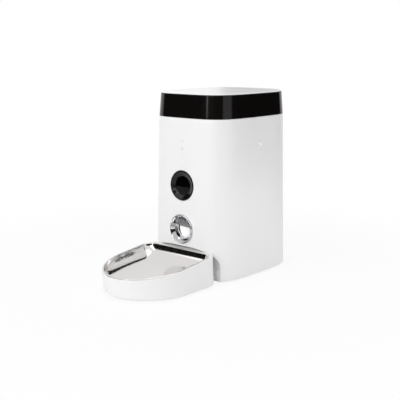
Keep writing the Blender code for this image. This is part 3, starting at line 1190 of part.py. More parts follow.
def electronics(rear):
    """Main board in its guides, speaker and power inlet on the rear wall."""
    bottom = PLATE_TOP + GAP
    half = MAIN_BOARD_LENGTH / 2
    board = block("main_board", BOARD_GREEN, (-BOARD_THICKNESS / 2, -half, bottom),
                  (BOARD_THICKNESS / 2, half, bottom + MAIN_BOARD_HEIGHT), (MAIN_BOARD_X, MAIN_BOARD_Y, 0))
    chips = ((CHIP_PLACE_SHARES, CHIP_SIZE, CHIP_HEIGHT), (COIL_PLACE_SHARES, COIL_SIZE, COIL_HEIGHT),
             (CAPACITOR_PLACE_SHARES, CHIP_SIZE / 2, COIL_HEIGHT))
    for number, ((along, up), size, height) in enumerate(chips):
        y = half * along
        z = mix(bottom, bottom + MAIN_BOARD_HEIGHT, up)
        chip = block(f"board_chip_{number}", None, (0, y - size / 2, z - size / 2),
                     (BOARD_THICKNESS / 2 + height, y + size / 2, z + size / 2),
                     (MAIN_BOARD_X, MAIN_BOARD_Y, 0))
        join(board, chip)
    start = SHELL_WALL + 2 * GAP
    flange = start + SPEAKER_FLANGE
    cone = flange + SPEAKER_CONE_DEPTH
    throat = SPEAKER_MAGNET_RADIUS / 2
    speaker = [(SPEAKER_RADIUS, start), (SPEAKER_RADIUS, flange),
               (SPEAKER_MAGNET_RADIUS + SPEAKER_FLANGE, cone),
               (SPEAKER_MAGNET_RADIUS, cone), (SPEAKER_MAGNET_RADIUS, start + SPEAKER_DEPTH),
               (0, start + SPEAKER_DEPTH), (0, cone - SPEAKER_FLANGE), (throat, cone - SPEAKER_FLANGE),
               (SPEAKER_RADIUS - SPEAKER_FLANGE, start + SPEAKER_FLANGE / 2),
               (SPEAKER_RADIUS - SPEAKER_FLANGE, start)]
    turned("speaker", DARK_PLASTIC, speaker, MEDIUM, (0, 0, SPEAKER_HEIGHT), INTO_FACE, rear)
    inner = INLET_DEPTH - INLET_BACK
    shoulder = SHELL_WALL + 3 * GAP
    inlet = [(INLET_RADIUS, GAP), (INLET_RADIUS, shoulder), (INLET_BODY_RADIUS, shoulder),
             (INLET_BODY_RADIUS, INLET_DEPTH), (0, INLET_DEPTH), (0, SHELL_WALL), (INLET_PIN, SHELL_WALL),
             (INLET_PIN, inner), (INLET_BORE, inner), (INLET_BORE, GAP)]
    turned("dc_inlet", DARK_PLASTIC, inlet, COARSE, (INLET_SIDE, 0, INLET_HEIGHT), INTO_FACE, rear)


def battery_pack():
    """Box over the base plate, its cells, contact strips and the cover under them."""
    half_x, half_y = BATTERY_HALF_WIDTH, BATTERY_HALF_LENGTH
    seat = (0, BATTERY_Y, 0)
    bottom = PLATE_TOP + GAP
    box = block("battery_box", DARK_PLASTIC, (-half_x - BATTERY_WALL, -half_y - BATTERY_WALL, bottom),
                (half_x + BATTERY_WALL, half_y + BATTERY_WALL, BATTERY_ROOF + BATTERY_WALL), seat)
    room = block("battery_room", None, (-half_x, -half_y, bottom - OVERRUN), (half_x, half_y, BATTERY_ROOF),
                 seat)
    carve(box, room)
    block("battery_cover", PALE_PLASTIC, (-half_x + GAP, -half_y + GAP, BASE_LIFT),
          (half_x - GAP, half_y - GAP, PLATE_TOP), seat)
    half = CELL_LENGTH / 2
    cell = [(0, -half), (CELL_RADIUS - EDGE_SOFTENING, -half), (CELL_RADIUS, EDGE_SOFTENING - half),
            (CELL_RADIUS, half - EDGE_SOFTENING), (CELL_RADIUS - EDGE_SOFTENING, half),
            (CELL_CAP_RADIUS, half),
            (CELL_CAP_RADIUS, half + CELL_CAP_HEIGHT), (0, half + CELL_CAP_HEIGHT)]
    for number in range(CELL_COUNT):
        x = (number - (CELL_COUNT - 1) / 2) * CELL_PITCH
        turn = INTO_FACE if number % 2 else (math.pi / 2, 0, 0)
        turned(f"battery_cell_{number + 1}", CELL_WRAP, cell, MEDIUM, (x, BATTERY_Y, CELL_HEIGHT), turn)
    low, high = CELL_HEIGHT - CONTACT_HEIGHT / 2, CELL_HEIGHT + CONTACT_HEIGHT / 2
    for end, name in ((-1, "front"), (1, "rear")):
        near, far = sorted((end * (half_y - GAP), end * (half_y - GAP - CONTACT_THICKNESS)))
        strip = block(f"battery_contact_{name}", SHAFT_STEEL, (-half_x + CONTACT_BUMP, near, low),
                      (half_x - CONTACT_BUMP, far, high), seat)
        for number in range(CELL_COUNT):
            x = (number - (CELL_COUNT - 1) / 2) * CELL_PITCH
            capped = (number % 2 == 1) == (end == 1)
            touch = half + (CELL_CAP_HEIGHT if capped else 0.0) + GAP
            start, stop = sorted((end * (half_y - GAP - CONTACT_THICKNESS / 2), end * touch))
            bump = block(f"contact_bump_{name}_{number}", None,
                         (x - CONTACT_BUMP, start, CELL_HEIGHT - CONTACT_BUMP),
                         (x + CONTACT_BUMP, stop, CELL_HEIGHT + CONTACT_BUMP), seat)
            join(strip, bump)


def tray_outline(half_width, nose, corner, back_y):
    """The tray seen from above: half an ellipse in front, rounded corners behind."""
    points = []
    for step in range(NOSE_POINTS + 1):
        angle = math.pi * step / NOSE_POINTS
        points.append((half_width * math.cos(angle), TRAY_CENTRE_Y - nose * math.sin(angle)))
    for side in (-1, 1):
        for step in range(CORNER_POINTS + 1):
            angle = math.pi / 2 * step / CORNER_POINTS
            if side == -1:
                x = -half_width + corner - corner * math.cos(angle)
                y = back_y - corner + corner * math.sin(angle)
            else:
                x = half_width - corner + corner * math.sin(angle)
                y = back_y - corner + corner * math.cos(angle)
            points.append((x, y))
    return points


def rim_height(y, drop=0.0):
    """Height of the sloping rim plane at a depth, less a drop."""
    return TRAY_RIM_BACK + RIM_SLOPE * (y - TRAY_BACK_Y) - drop


def on_rim(loop, drop=0.0):
    """Lifts an outline onto the sloping rim plane."""
    return [(x, y, rim_height(y, drop)) for x, y in loop]


def bowl_outline(inset):
    """The bowl's flange outline, drawn in by an inset."""
    return tray_outline(TRAY_HALF_WIDTH - BOWL_MARGIN - inset, TRAY_NOSE_LENGTH - BOWL_MARGIN - inset,
                        BOWL_CORNER - inset, BOWL_BACK_Y - inset)


def bowl_tray():
    """The white tray: raked wall, sloping rim, neck and the tongue that enters the tower."""
    foot = tray_outline(TRAY_HALF_WIDTH + TRAY_FOOT_SPREAD, TRAY_NOSE_LENGTH - TRAY_NOSE_RAKE, TRAY_CORNER,
                        TRAY_BACK_Y)
    heel = tray_outline(TRAY_HALF_WIDTH + TRAY_FOOT_SPREAD - EDGE_SOFTENING,
                        TRAY_NOSE_LENGTH - TRAY_NOSE_RAKE - EDGE_SOFTENING, TRAY_CORNER,
                        TRAY_BACK_Y - EDGE_SOFTENING)
    rim = tray_outline(TRAY_HALF_WIDTH, TRAY_NOSE_LENGTH, TRAY_CORNER, TRAY_BACK_Y)
    tray = lofted("bowl_tray", WHITE_PLASTIC, [
        at_height(heel, BASE_LIFT), at_height(foot, BASE_LIFT + EDGE_SOFTENING), on_rim(rim)])
    cavity = bowl_outline(BOWL_FLANGE - BOWL_GAUGE - 2 * GAP)
    hollow = lofted("tray_inside", None, [
        at_height(cavity, BASE_LIFT + TRAY_FLOOR), on_rim(cavity, -OVERRUN)])
    neck = block("tray_neck", None, (-NECK_HALF_WIDTH, TRAY_BACK_Y - SHELL_WALL, NECK_BOTTOM),
                 (NECK_HALF_WIDTH, RECESS_BACK - GAP, NECK_TOP))
    tongue = block("tray_tongue", None, (-TONGUE_HALF_WIDTH, TRAY_BACK_Y, TONGUE_BOTTOM),
                   (TONGUE_HALF_WIDTH, RECESS_BACK + TONGUE_LENGTH, TONGUE_BOTTOM + TONGUE_THICKNESS))
    under_tower = lofted("tray_keep_out", None, [
        tower_ring(BASE_LIFT - OVERRUN, -2 * GAP), tower_ring(RECESS_HEIGHT + OVERRUN, -2 * GAP)])
    carve(under_tower, recess_tool("tray_arch", -2 * GAP))
    carve(tray, hollow, under_tower)
    join(tray, neck, tongue)
    foot_top = BASE_LIFT - GAP
    for name, x in (("left", -TRAY_FOOT_X), ("right", TRAY_FOOT_X)):
        rod(f"tray_foot_{name}", RUBBER, TRAY_FOOT_RADIUS, 0, foot_top, MEDIUM, (x, TRAY_FOOT_Y, 0))


def steel_bowl():
    """The pressed bowl: a flange with a turned-down lip, sloping walls and a rounded floor edge."""
    top = -GAP - BOWL_GAUGE
    rings = [on_rim(bowl_outline(BOWL_FLANGE + BOWL_DRAFT + BOWL_FILLET), top + BOWL_DEPTH)]
    for step in range(1, BOWL_FILLET_STEPS + 1):
        angle = math.pi / 2 * step / BOWL_FILLET_STEPS
        inset = BOWL_FLANGE + BOWL_DRAFT + BOWL_FILLET * (1 - math.sin(angle))
        rings.append(on_rim(bowl_outline(inset), top + BOWL_DEPTH - BOWL_FILLET * (1 - math.cos(angle))))
    rings.append(on_rim(bowl_outline(BOWL_FLANGE), top + BOWL_GAUGE))
    rings.append(on_rim(bowl_outline(BOWL_FLANGE - BOWL_GAUGE), top))
    rings.append(on_rim(bowl_outline(BOWL_GAUGE), top))
    bowl = lofted("steel_bowl", STEEL, rings, False)
    wall = bowl.modifiers.new("gauge", "SOLIDIFY")
    wall.thickness = BOWL_GAUGE
    wall.offset = -1
    wall.use_even_offset = True


def build():
    """Makes every piece."""
    clear_scene()
    front, rear = face_frames()
    body_shell(front, rear)
    base_plate()
    base_fixings()
    camera(front)
    indicators(front)
    outlet(front)
    metering_cup()
    metering_drive()
    hopper()
    lid_release()
    lid()
    electronics(rear)
    battery_pack()
    bowl_tray()
    steel_bowl()


build()
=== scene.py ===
"""Pet feeder with camera: the finished look of the part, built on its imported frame.

Lengths are in metres. The front faces -Y, +X is the side that the picture shows and +Z is up.
"""
import json
import logging
import math
from dataclasses import dataclass, field
from enum import Enum

import bmesh
import bpy
import numpy as np
from mathutils import Matrix, Vector


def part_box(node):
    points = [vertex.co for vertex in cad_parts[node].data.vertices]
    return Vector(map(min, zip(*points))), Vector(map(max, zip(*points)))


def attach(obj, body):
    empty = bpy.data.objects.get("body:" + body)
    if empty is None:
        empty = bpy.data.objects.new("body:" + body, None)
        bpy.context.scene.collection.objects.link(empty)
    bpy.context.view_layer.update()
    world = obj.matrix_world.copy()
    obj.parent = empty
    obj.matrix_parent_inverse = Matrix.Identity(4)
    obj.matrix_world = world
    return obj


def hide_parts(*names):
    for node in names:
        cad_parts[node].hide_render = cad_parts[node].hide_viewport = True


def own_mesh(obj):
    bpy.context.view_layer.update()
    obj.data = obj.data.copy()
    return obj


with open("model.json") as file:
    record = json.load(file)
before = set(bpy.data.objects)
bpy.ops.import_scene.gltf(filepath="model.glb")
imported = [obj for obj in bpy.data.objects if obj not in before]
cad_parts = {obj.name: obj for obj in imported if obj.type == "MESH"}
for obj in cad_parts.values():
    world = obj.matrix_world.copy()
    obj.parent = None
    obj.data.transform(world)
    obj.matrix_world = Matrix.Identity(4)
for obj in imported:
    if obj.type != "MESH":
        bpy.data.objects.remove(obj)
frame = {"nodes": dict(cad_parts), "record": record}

LOG = logging.getLogger("pet_feeder")
MM = 0.001
SHARP = math.radians(32)
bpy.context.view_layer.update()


# Shader graph


class Value:
    """A node socket that takes part in arithmetic."""

    def __init__(self, graph: "Graph", socket):
        """Wraps a socket.

        Args:
            graph: The graph that holds the socket.
            socket: The output socket.
        """
        self.graph = graph
        self.socket = socket

    def __add__(self, other):
        return self.graph.math("ADD", self, other)

    def __radd__(self, other):
        return self.graph.math("ADD", other, self)

    def __sub__(self, other):
        return self.graph.math("SUBTRACT", self, other)

    def __mul__(self, other):
        return self.graph.math("MULTIPLY", self, other)

    def __pow__(self, other):
        return self.graph.math("POWER", self, other)

    def sign(self) -> "Value":
        """Gives -1, 0 or 1."""
        return self.graph.math("SIGN", self)

    def root(self) -> "Value":
        """Gives the square root."""
        return self.graph.math("SQRT", self)

    def at_least(self, other) -> "Value":
        """Gives the larger of two values.

        Args:
            other: A number or another value.

        Returns:
            The larger one.
        """
        return self.graph.math("MAXIMUM", self, other)


class Graph:
    """A node tree with the calls that shader and geometry trees share."""

    def __init__(self, tree):
        """Keeps the tree.

        Args:
            tree: The node tree.
        """
        self.tree = tree

    def node(self, kind: str, inputs: dict | None = None, **settings):
        """Adds a node.

        Args:
            kind: The node's type name.
            inputs: Values or sockets by input name or number.
            settings: Properties of the node, set first.

        Returns:
            The node.
        """
        made = self.tree.nodes.new(kind)
        for name, value in settings.items():
            setattr(made, name, value)
        for key, value in (inputs or {}).items():
            self.feed(made.inputs[key], value)
        return made

    def feed(self, target, value) -> None:
        """Gives an input a constant or a link.

        Args:
            target: The input socket.
            value: A number, a tuple, a Value or an output socket.
        """
        if isinstance(value, Value):
            value = value.socket
        if isinstance(value, bpy.types.NodeSocket):
            self.tree.links.new(value, target)
        else:
            target.default_value = value

    def math(self, operation: str, first, second=0.0) -> Value:
        """Adds a maths node.

        Args:
            operation: The operation's name.
            first: The first number or value.
            second: The second number or value.

        Returns:
            The result.
        """
        made = self.node("ShaderNodeMath", {0: first, 1: second}, operation=operation)
        return Value(self, made.outputs[0])

    def vector(self, x=0.0, y=0.0, z=0.0):
        """Puts three numbers or values together.

        Args:
            x: The first part.
            y: The second part.
            z: The third part.

        Returns:
            The vector socket.
        """
        return self.node("ShaderNodeCombineXYZ", {"X": x, "Y": y, "Z": z}).outputs[0]

    def parts(self, vector) -> tuple:
        """Takes a vector apart.

        Args:
            vector: The vector socket.

        Returns:
            Its three values.
        """
        made = self.node("ShaderNodeSeparateXYZ", {0: vector})
        return tuple(Value(self, made.outputs[number]) for number in range(3))

    def looked_at(self) -> Value:
        """Gives 1 for rays from the camera, mirrors and clear pieces and 0 for rays that light pieces up."""
        rays = self.node("ShaderNodeLightPath").outputs
        camera, mirror, clear = (Value(self, rays[f"Is {kind} Ray"]) for kind in ("Camera", "Glossy", "Transmission"))
        return camera.at_least(mirror).at_least(clear)


class ShaderGraph(Graph):
    """The node tree of one material."""

    def __init__(self, name: str):
        """Starts an empty material.

        Args:
            name: The material's name.
        """
        self.material = bpy.data.materials.new(name)
        self.material.use_nodes = True
        super().__init__(self.material.node_tree)
        self.tree.nodes.clear()
        self.output = self.node("ShaderNodeOutputMaterial")

    def point(self, stretch: tuple = (1.0, 1.0, 1.0)):
        """Gives object coordinates, stretched on each axis.

        Args:
            stretch: The factor on X, Y and Z.

        Returns:
            The vector socket.
        """
        place = self.node("ShaderNodeTexCoord").outputs["Object"]
        if stretch == (1.0, 1.0, 1.0):
            return place
        scaled = self.node("ShaderNodeVectorMath", {0: place, 1: stretch}, operation="MULTIPLY")
        return scaled.outputs[0]

    def noise(self, point, scale: float, detail: float = 2.0, roughness: float = 0.5) -> Value:
        """Adds a noise texture.

        Args:
            point: The vector socket.
            scale: Cells in each metre.
            detail: Octaves.
            roughness: Strength of the fine octaves.

        Returns:
            The noise between 0 and 1.
        """
        made = self.node("ShaderNodeTexNoise", {"Vector": point, "Scale": scale, "Detail": detail,
                                                "Roughness": roughness})
        return Value(self, made.outputs["Fac"])

    def band(self, value, low: float, high: float, bottom: float, top: float) -> Value:
        """Maps a range smoothly onto another and clamps it.

        Args:
            value: The value that is mapped.
            low: Start of the range read.
            high: End of the range read.
            bottom: Result at the start.
            top: Result at the end.

        Returns:
            The mapped value.
        """
        made = self.node("ShaderNodeMapRange", {"Value": value, "From Min": low, "From Max": high, "To Min": bottom,
                                                "To Max": top}, interpolation_type="SMOOTHSTEP")
        return Value(self, made.outputs["Result"])

    def blend(self, factor, first: tuple, second: tuple):
        """Mixes two colours.

        Args:
            factor: 0 for the first, 1 for the second.
            first: A colour or colour socket.
            second: A colour or colour socket.

        Returns:
            The colour socket.
        """
        made = self.node("ShaderNodeMix", data_type="RGBA")
        self.feed(made.inputs["Factor"], factor)
        self.feed(made.inputs["A"], first)
        self.feed(made.inputs["B"], second)
        return made.outputs["Result"]

    def bump(self, height, depth: float):
        """Adds a bump.

        Args:
            height: The height between 0 and 1.
            depth: Metres between 0 and 1.

        Returns:
            The normal socket.
        """
        return self.node("ShaderNodeBump", {"Height": height, "Distance": depth, "Strength": 1.0}).outputs["Normal"]

    def surface(self, inputs: dict) -> bpy.types.Material:
        """Adds the shader and ends the graph.

        Args:
            inputs: Inputs of the Principled shader.

        Returns:
            The material.
        """
        shader = self.node("ShaderNodeBsdfPrincipled", inputs)
        self.tree.links.new(shader.outputs[0], self.output.inputs["Surface"])
        return self.material


def opaque(colour: tuple) -> tuple:
    """Gives a colour with full alpha.

    Args:
        colour: Red, green and blue.

    Returns:
        Red, green, blue and 1.
    """
    return (*colour, 1.0)


# Finishes


@dataclass(frozen=True)
class Finish:
    """A surface finish: colour, gloss and the small unevenness of its making."""

    name: str
    slot: str
    colour: tuple
    roughness: float
    roughness_spread: float = 0.05
    shade: float = 0.96
    grain: float = 900.0
    grain_depth: float = 0.004 * MM
    patch: float = 14.0
    coat: float = 0.0
    specular: float = 0.5

    def material(self) -> bpy.types.Material:
        """Gives the finish's material, built once.

        Returns:
            The material.
        """
        return bpy.data.materials.get(self.name) or self.build(ShaderGraph(self.name))

    def unevenness(self, graph: ShaderGraph):
        """Builds the colour, roughness and bump that every finish has.

        Args:
            graph: The material's graph.

        Returns:
            The colour, the roughness and the normal.
        """
        place = graph.point()
        patches = graph.noise(place, self.patch, 3.0)
        darker = tuple(channel * self.shade for channel in self.colour)
        colour = graph.blend(patches, opaque(darker), opaque(self.colour))
        streaks = graph.noise(place, self.patch * 6, 4.0, 0.6)
        roughness = self.roughness + (streaks - 0.5) * (2 * self.roughness_spread)
        normal = graph.bump(graph.noise(place, self.grain, 2.0), self.grain_depth)
        return colour, roughness, normal

    def build(self, graph: ShaderGraph) -> bpy.types.Material:
        """Builds the material.

        Args:
            graph: The material's graph.

        Returns:
            The material.
        """
        colour, roughness, normal = self.unevenness(graph)
        return graph.surface({"Base Color": colour, "Roughness": roughness, "Normal": normal,
                              "Specular IOR Level": self.specular, "Coat Weight": self.coat,
                              "Coat Roughness": self.roughness * 0.4})


@dataclass(frozen=True)
class Metal(Finish):
    """A metal with drawing or polishing lines along one direction."""

    line_stretch: tuple = (1.0, 1.0, 1.0)
    line_depth: float = 0.002 * MM
    lines: float = 600.0

    def build(self, graph: ShaderGraph) -> bpy.types.Material:
        """Builds the metal.

        Args:
            graph: The material's graph.

        Returns:
            The material.
        """
        colour, roughness, _ = self.unevenness(graph)
        lines = graph.noise(graph.point(self.line_stretch), self.lines, 3.0, 0.6)
        normal = graph.bump(lines, self.line_depth)
        return graph.surface({"Base Color": colour, "Roughness": roughness + (lines - 0.5) * 0.04, "Normal": normal,
                              "Metallic": 1.0})


@dataclass(frozen=True)
class Window(Finish):
    """Dark clear plastic that lets a little through."""

    cover: float = 0.8

    def build(self, graph: ShaderGraph) -> bpy.types.Material:
        """Builds the window.

        Args:
            graph: The material's graph.

        Returns:
            The material.
        """
        colour, roughness, normal = self.unevenness(graph)
        dust = graph.noise(graph.point(), 500.0, 3.0)
        return graph.surface({"Base Color": colour, "Roughness": roughness, "Normal": normal,
                              "Specular IOR Level": self.specular, "Alpha": self.cover + (dust - 0.5) * 0.06})


@dataclass(frozen=True)
class Board(Finish):
    """A circuit board with copper tracks under its mask."""

    track: tuple = (0.03, 0.24, 0.11)

    def build(self, graph: ShaderGraph) -> bpy.types.Material:
        """Builds the board.

        Args:
            graph: The material's graph.

        Returns:
            The material.
        """
        place = graph.point()
        cells = graph.node("ShaderNodeTexVoronoi", {"Vector": place, "Scale": 240.0}, distance="MANHATTAN",
                           feature="DISTANCE_TO_EDGE")
        tracks = graph.band(Value(graph, cells.outputs["Distance"]), 0.06, 0.1, 1.0, 0.0)
        colour = graph.blend(tracks, opaque(self.colour), opaque(self.track))
        return graph.surface({"Base Color": colour, "Roughness": self.roughness + tracks * self.roughness_spread,
                              "Normal": graph.bump(tracks, 0.03 * MM)})


WHITE = Finish("white_gloss_plastic", "white_plastic", (0.87, 0.87, 0.872), 0.34, shade=0.985, specular=0.4)
PALE = Finish("pale_matt_plastic", "pale_plastic", (0.74, 0.745, 0.75), 0.48, grain=1400.0, grain_depth=0.01 * MM)
BLACK = Finish("piano_black_plastic", "black_gloss", (0.0045, 0.0038, 0.0036), 0.13, 0.03, shade=0.8,
               specular=0.3)
SMOKE = Window("smoked_clear_plastic", "smoked_window", (0.0012, 0.0012, 0.0015), 0.05, 0.02, cover=0.95,
               specular=0.12)
CHUTE_WHITE = Finish("white_satin_plastic", "white_plastic", (0.84, 0.84, 0.84), 0.42, shade=0.98)
CHROME = Metal("chrome_plating", "chrome", (0.50, 0.50, 0.515), 0.05, 0.02, lines=300.0, line_depth=0.001 * MM)
STEEL = Metal("polished_steel_sheet", "polished_steel", (0.72, 0.702, 0.69), 0.12, 0.04,
              line_stretch=(1.0, 0.08, 1.0), line_depth=0.004 * MM)
BRIGHT = Metal("bright_steel", "shaft_steel", (0.62, 0.62, 0.63), 0.28, 0.06, line_stretch=(1.0, 1.0, 6.0))
GREY = Finish("grey_matt_plastic", "grey_plastic", (0.13, 0.13, 0.135), 0.42, grain=1600.0, grain_depth=0.012 * MM)
DARK = Finish("black_matt_plastic", "dark_plastic", (0.028, 0.028, 0.03), 0.5, grain=1600.0, grain_depth=0.012 * MM)
ACETAL = Finish("natural_acetal", "gear_plastic", (0.78, 0.76, 0.69), 0.38)
RUBBER = Finish("black_rubber", "rubber", (0.045, 0.045, 0.047), 0.78, 0.08, grain=2200.0, grain_depth=0.02 * MM)
SILICONE = Finish("grey_silicone", "silicone", (0.60, 0.62, 0.64), 0.6, 0.06)
BRONZE = Metal("sintered_bronze", "bronze", (0.60, 0.40, 0.20), 0.42, 0.08, lines=1500.0, line_depth=0.01 * MM)
MASK = Board("green_circuit_board", "circuit_board", (0.012, 0.12, 0.05), 0.4)
ACRYLIC = Finish("clear_acrylic", "light_pipe", (0.72, 0.75, 0.79), 0.12, 0.03, coat=0.5)
WRAP = Finish("cell_sleeve", "cell_wrap", (0.09, 0.10, 0.12), 0.3, 0.05, coat=0.4)
ZINC = Metal("zinc_plated_steel", "motor_steel", (0.50, 0.51, 0.53), 0.34, 0.08, line_stretch=(1.0, 1.0, 8.0))
FINISHES = (WHITE, PALE, BLACK, SMOKE, CHROME, STEEL, BRIGHT, GREY, DARK, ACETAL, RUBBER, SILICONE, BRONZE, MASK,
            ACRYLIC, WRAP, ZINC)


# Shapes


def linked(name: str, data) -> bpy.types.Object:
    """Puts data into the scene as an object.

    Args:
        name: The object's name.
        data: The mesh, lamp or camera.

    Returns:
        The object.
    """
    made = bpy.data.objects.new(name, data)
    bpy.context.scene.collection.objects.link(made)
    return made


def taken_from(item: bpy.types.Object) -> bpy.types.Mesh:
    """Gives an object's mesh with its modifiers applied and removes the object.

    Args:
        item: The object.

    Returns:
        The new mesh.
    """
    mesh = bpy.data.meshes.new_from_object(item.evaluated_get(bpy.context.evaluated_depsgraph_get()))
    bpy.data.objects.remove(item)
    return mesh


def quarter(count: int) -> np.ndarray:
    """Gives angles over a quarter turn.

    Args:
        count: How many, both ends among them.

    Returns:
        The angles.
    """
    return np.linspace(0, math.pi / 2, count)


def rounded(corners: list, steps: int = 5) -> list:
    """Rounds the corners of a closed outline.

    Args:
        corners: (a, b) for a sharp corner or (a, b, radius) for a round one.
        steps: Segments of each arc.

    Returns:
        The outline as (a, b) points.
    """
    points = []
    count = len(corners)
    for index, corner in enumerate(corners):
        here = Vector(corner[:2])
        radius = corner[2] if len(corner) > 2 else 0.0
        if radius <= 0:
            points.append(tuple(here))
            continue
        back = (Vector(corners[index - 1][:2]) - here).normalized()
        ahead = (Vector(corners[(index + 1) % count][:2]) - here).normalized()
        half = back.angle(ahead) / 2
        reach = radius / math.tan(half)
        middle = here + (back + ahead).normalized() * (radius / math.sin(half))
        start, end = here + back * reach - middle, here + ahead * reach - middle
        sweep = start.angle_signed(end)
        for step in range(steps + 1):
            turned = Matrix.Rotation(-sweep * step / steps, 2) @ start
            points.append(tuple(middle + turned))
    return points


class Solid:
    """A closed mesh under construction."""

    def __init__(self, vertices, faces):
        """Makes the mesh and turns its faces outwards.

        Args:
            vertices: Points.
            faces: Lists of point numbers.
        """
        self.mesh = bpy.data.meshes.new("solid")
        self.mesh.from_pydata([tuple(v) for v in vertices], [], faces)
        shape = bmesh.new()
        shape.from_mesh(self.mesh)
        bmesh.ops.recalc_face_normals(shape, faces=shape.faces)
        if shape.calc_volume(signed=True) < 0:
            bmesh.ops.reverse_faces(shape, faces=shape.faces)
        shape.to_mesh(self.mesh)
        shape.free()

    @classmethod
    def loft(cls, rings: list, closed: bool = False) -> "Solid":
        """Joins rings of points by a skin.

        Args:
            rings: Arrays of points, all of one length.
            closed: True where the last ring meets the first, False for ends with caps.

        Returns:
            The solid.
        """
        count = len(rings[0])
        vertices = [tuple(point) for ring in rings for point in ring]
        faces = []
        pairs = list(zip(range(len(rings) - 1), range(1, len(rings))))
        if closed:
            pairs.append((len(rings) - 1, 0))
        for low, high in pairs:
            for step in range(count):
                after = (step + 1) % count
                faces.append((low * count + step, low * count + after, high * count + after, high * count + step))
        if not closed:
            for row in (0, len(rings) - 1):
                vertices.append(tuple(np.mean(rings[row], axis=0)))
                tip = len(vertices) - 1
                faces += [(row * count + step, row * count + (step + 1) % count, tip) for step in range(count)]
        return cls(vertices, faces)

    @classmethod
    def lathe(cls, outline: list, steps: int = 96) -> "Solid":
        """Turns a closed outline about the Z axis.

        Args:
            outline: (radius, height) points; two neighbours may lie on the axis.
            steps: Segments of the turn.

        Returns:
            The solid.
        """
        angles = np.linspace(0, 2 * math.pi, steps, endpoint=False)
        vertices, rows = [], []
        for radius, height in outline:
            if radius < 1e-9:
                rows.append([len(vertices)] * steps)
                vertices.append((0.0, 0.0, height))
            else:
                rows.append(list(range(len(vertices), len(vertices) + steps)))
                vertices += [(radius * math.cos(a), radius * math.sin(a), height) for a in angles]
        faces = []
        for low, high in zip(rows, rows[1:] + rows[:1]):
            for step in range(steps):
                after = (step + 1) % steps
                face = list(dict.fromkeys((low[step], low[after], high[after], high[step])))
                if len(face) > 2:
                    faces.append(face)
        return cls(vertices, faces)

    @classmethod
    def prism(cls, outline, low: float, high: float) -> "Solid":
        """Extends a flat outline along Z.

        Args:
            outline: (x, y) points.
            low: Bottom height.
            high: Top height.

        Returns:
            The solid.
        """
        count = len(outline)
        vertices = [(x, y, z) for z in (low, high) for x, y in outline]
        sides = [(i, (i + 1) % count, count + (i + 1) % count, count + i) for i in range(count)]
        return cls(vertices, sides + [tuple(range(count)), tuple(range(count, 2 * count))])

    @classmethod
    def block(cls, low: tuple, high: tuple) -> "Solid":
        """Makes a box between two corners.

        Args:
            low: The lowest corner.
            high: The highest corner.

        Returns:
            The solid.
        """
        outline = [(low[0], low[1]), (high[0], low[1]), (high[0], high[1]), (low[0], high[1])]
        return cls.prism(outline, low[2], high[2])

    def moved(self, matrix: Matrix) -> "Solid":
        """Moves the solid.

        Args:
            matrix: The transform.

        Returns:
            The same solid.
        """
        self.mesh.transform(matrix)
        return self

    def combined(self, operation: str, tools: tuple) -> "Solid":
        """Applies Booleans.

        Args:
            operation: The name of the Boolean.
            tools: The other solids.

        Returns:
            The same solid with its new mesh.
        """
        target = linked("target", self.mesh)
        helpers = [linked("tool", tool.mesh) for tool in tools]
        for helper in helpers:
            step = target.modifiers.new("step", "BOOLEAN")
            step.operation = operation
            step.solver = "EXACT"
            step.object = helper
        self.mesh = taken_from(target)
        for helper in helpers:
            bpy.data.objects.remove(helper)
        return self

    def softened(self, width: float, segments: int = 3) -> "Solid":
        """Rounds the sharp edges.

        Args:
            width: Radius of the rounding.
            segments: Steps of the rounding.

        Returns:
            The same solid.
        """
        item = linked("edges", self.mesh)
        bevel = item.modifiers.new("edges", "BEVEL")
        bevel.width = width
        bevel.segments = segments
        bevel.limit_method = "ANGLE"
        bevel.angle_limit = SHARP
        bevel.harden_normals = False
        self.mesh = taken_from(item)
        return self

    def cut(self, *tools: "Solid") -> "Solid":
        """Takes tools away.

        Args:
            tools: The solids taken away.

        Returns:
            The same solid.
        """
        return self.combined("DIFFERENCE", tools)

    def join(self, *tools: "Solid") -> "Solid":
        """Adds tools.

        Args:
            tools: The solids added.

        Returns:
            The same solid.
        """
        return self.combined("UNION", tools)

    def piece(self, name: str, finish: Finish, body: str, *nodes: str) -> bpy.types.Object:
        """Makes the finished piece.

        Args:
            name: The piece's name.
            finish: Its finish.
            body: The CAD body that it moves with.
            nodes: CAD nodes that it stands for.

        Returns:
            The object.
        """
        self.mesh.name = name
        self.mesh.materials.clear()
        self.mesh.materials.append(finish.material())
        self.mesh.shade_smooth()
        self.mesh.set_sharp_from_angle(angle=SHARP)
        made = linked(name, self.mesh)
        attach(made, body)
        if nodes:
            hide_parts(*nodes)
        LOG.info("%s: %d faces", name, len(self.mesh.polygons))
        return made


def far_side(rings: list, gauge: float) -> list:
    """Gives the underside of a sheet whose upper side is a row of rings.

    Args:
        rings: Arrays of points, from the edge of the sheet to its middle.
        gauge: Thickness of the sheet.

    Returns:
        The rings of the underside, in the same order.
    """
    points = np.array(rings)
    inwards = np.gradient(points, axis=0)
    around = np.roll(points, -1, axis=1) - np.roll(points, 1, axis=1)
    normal = np.cross(inwards, around)
    normal /= np.maximum(np.linalg.norm(normal, axis=2), 1e-12)[:, :, None]
    normal *= -np.sign(normal[-1, 0, 2])
    return list(points + gauge * normal)


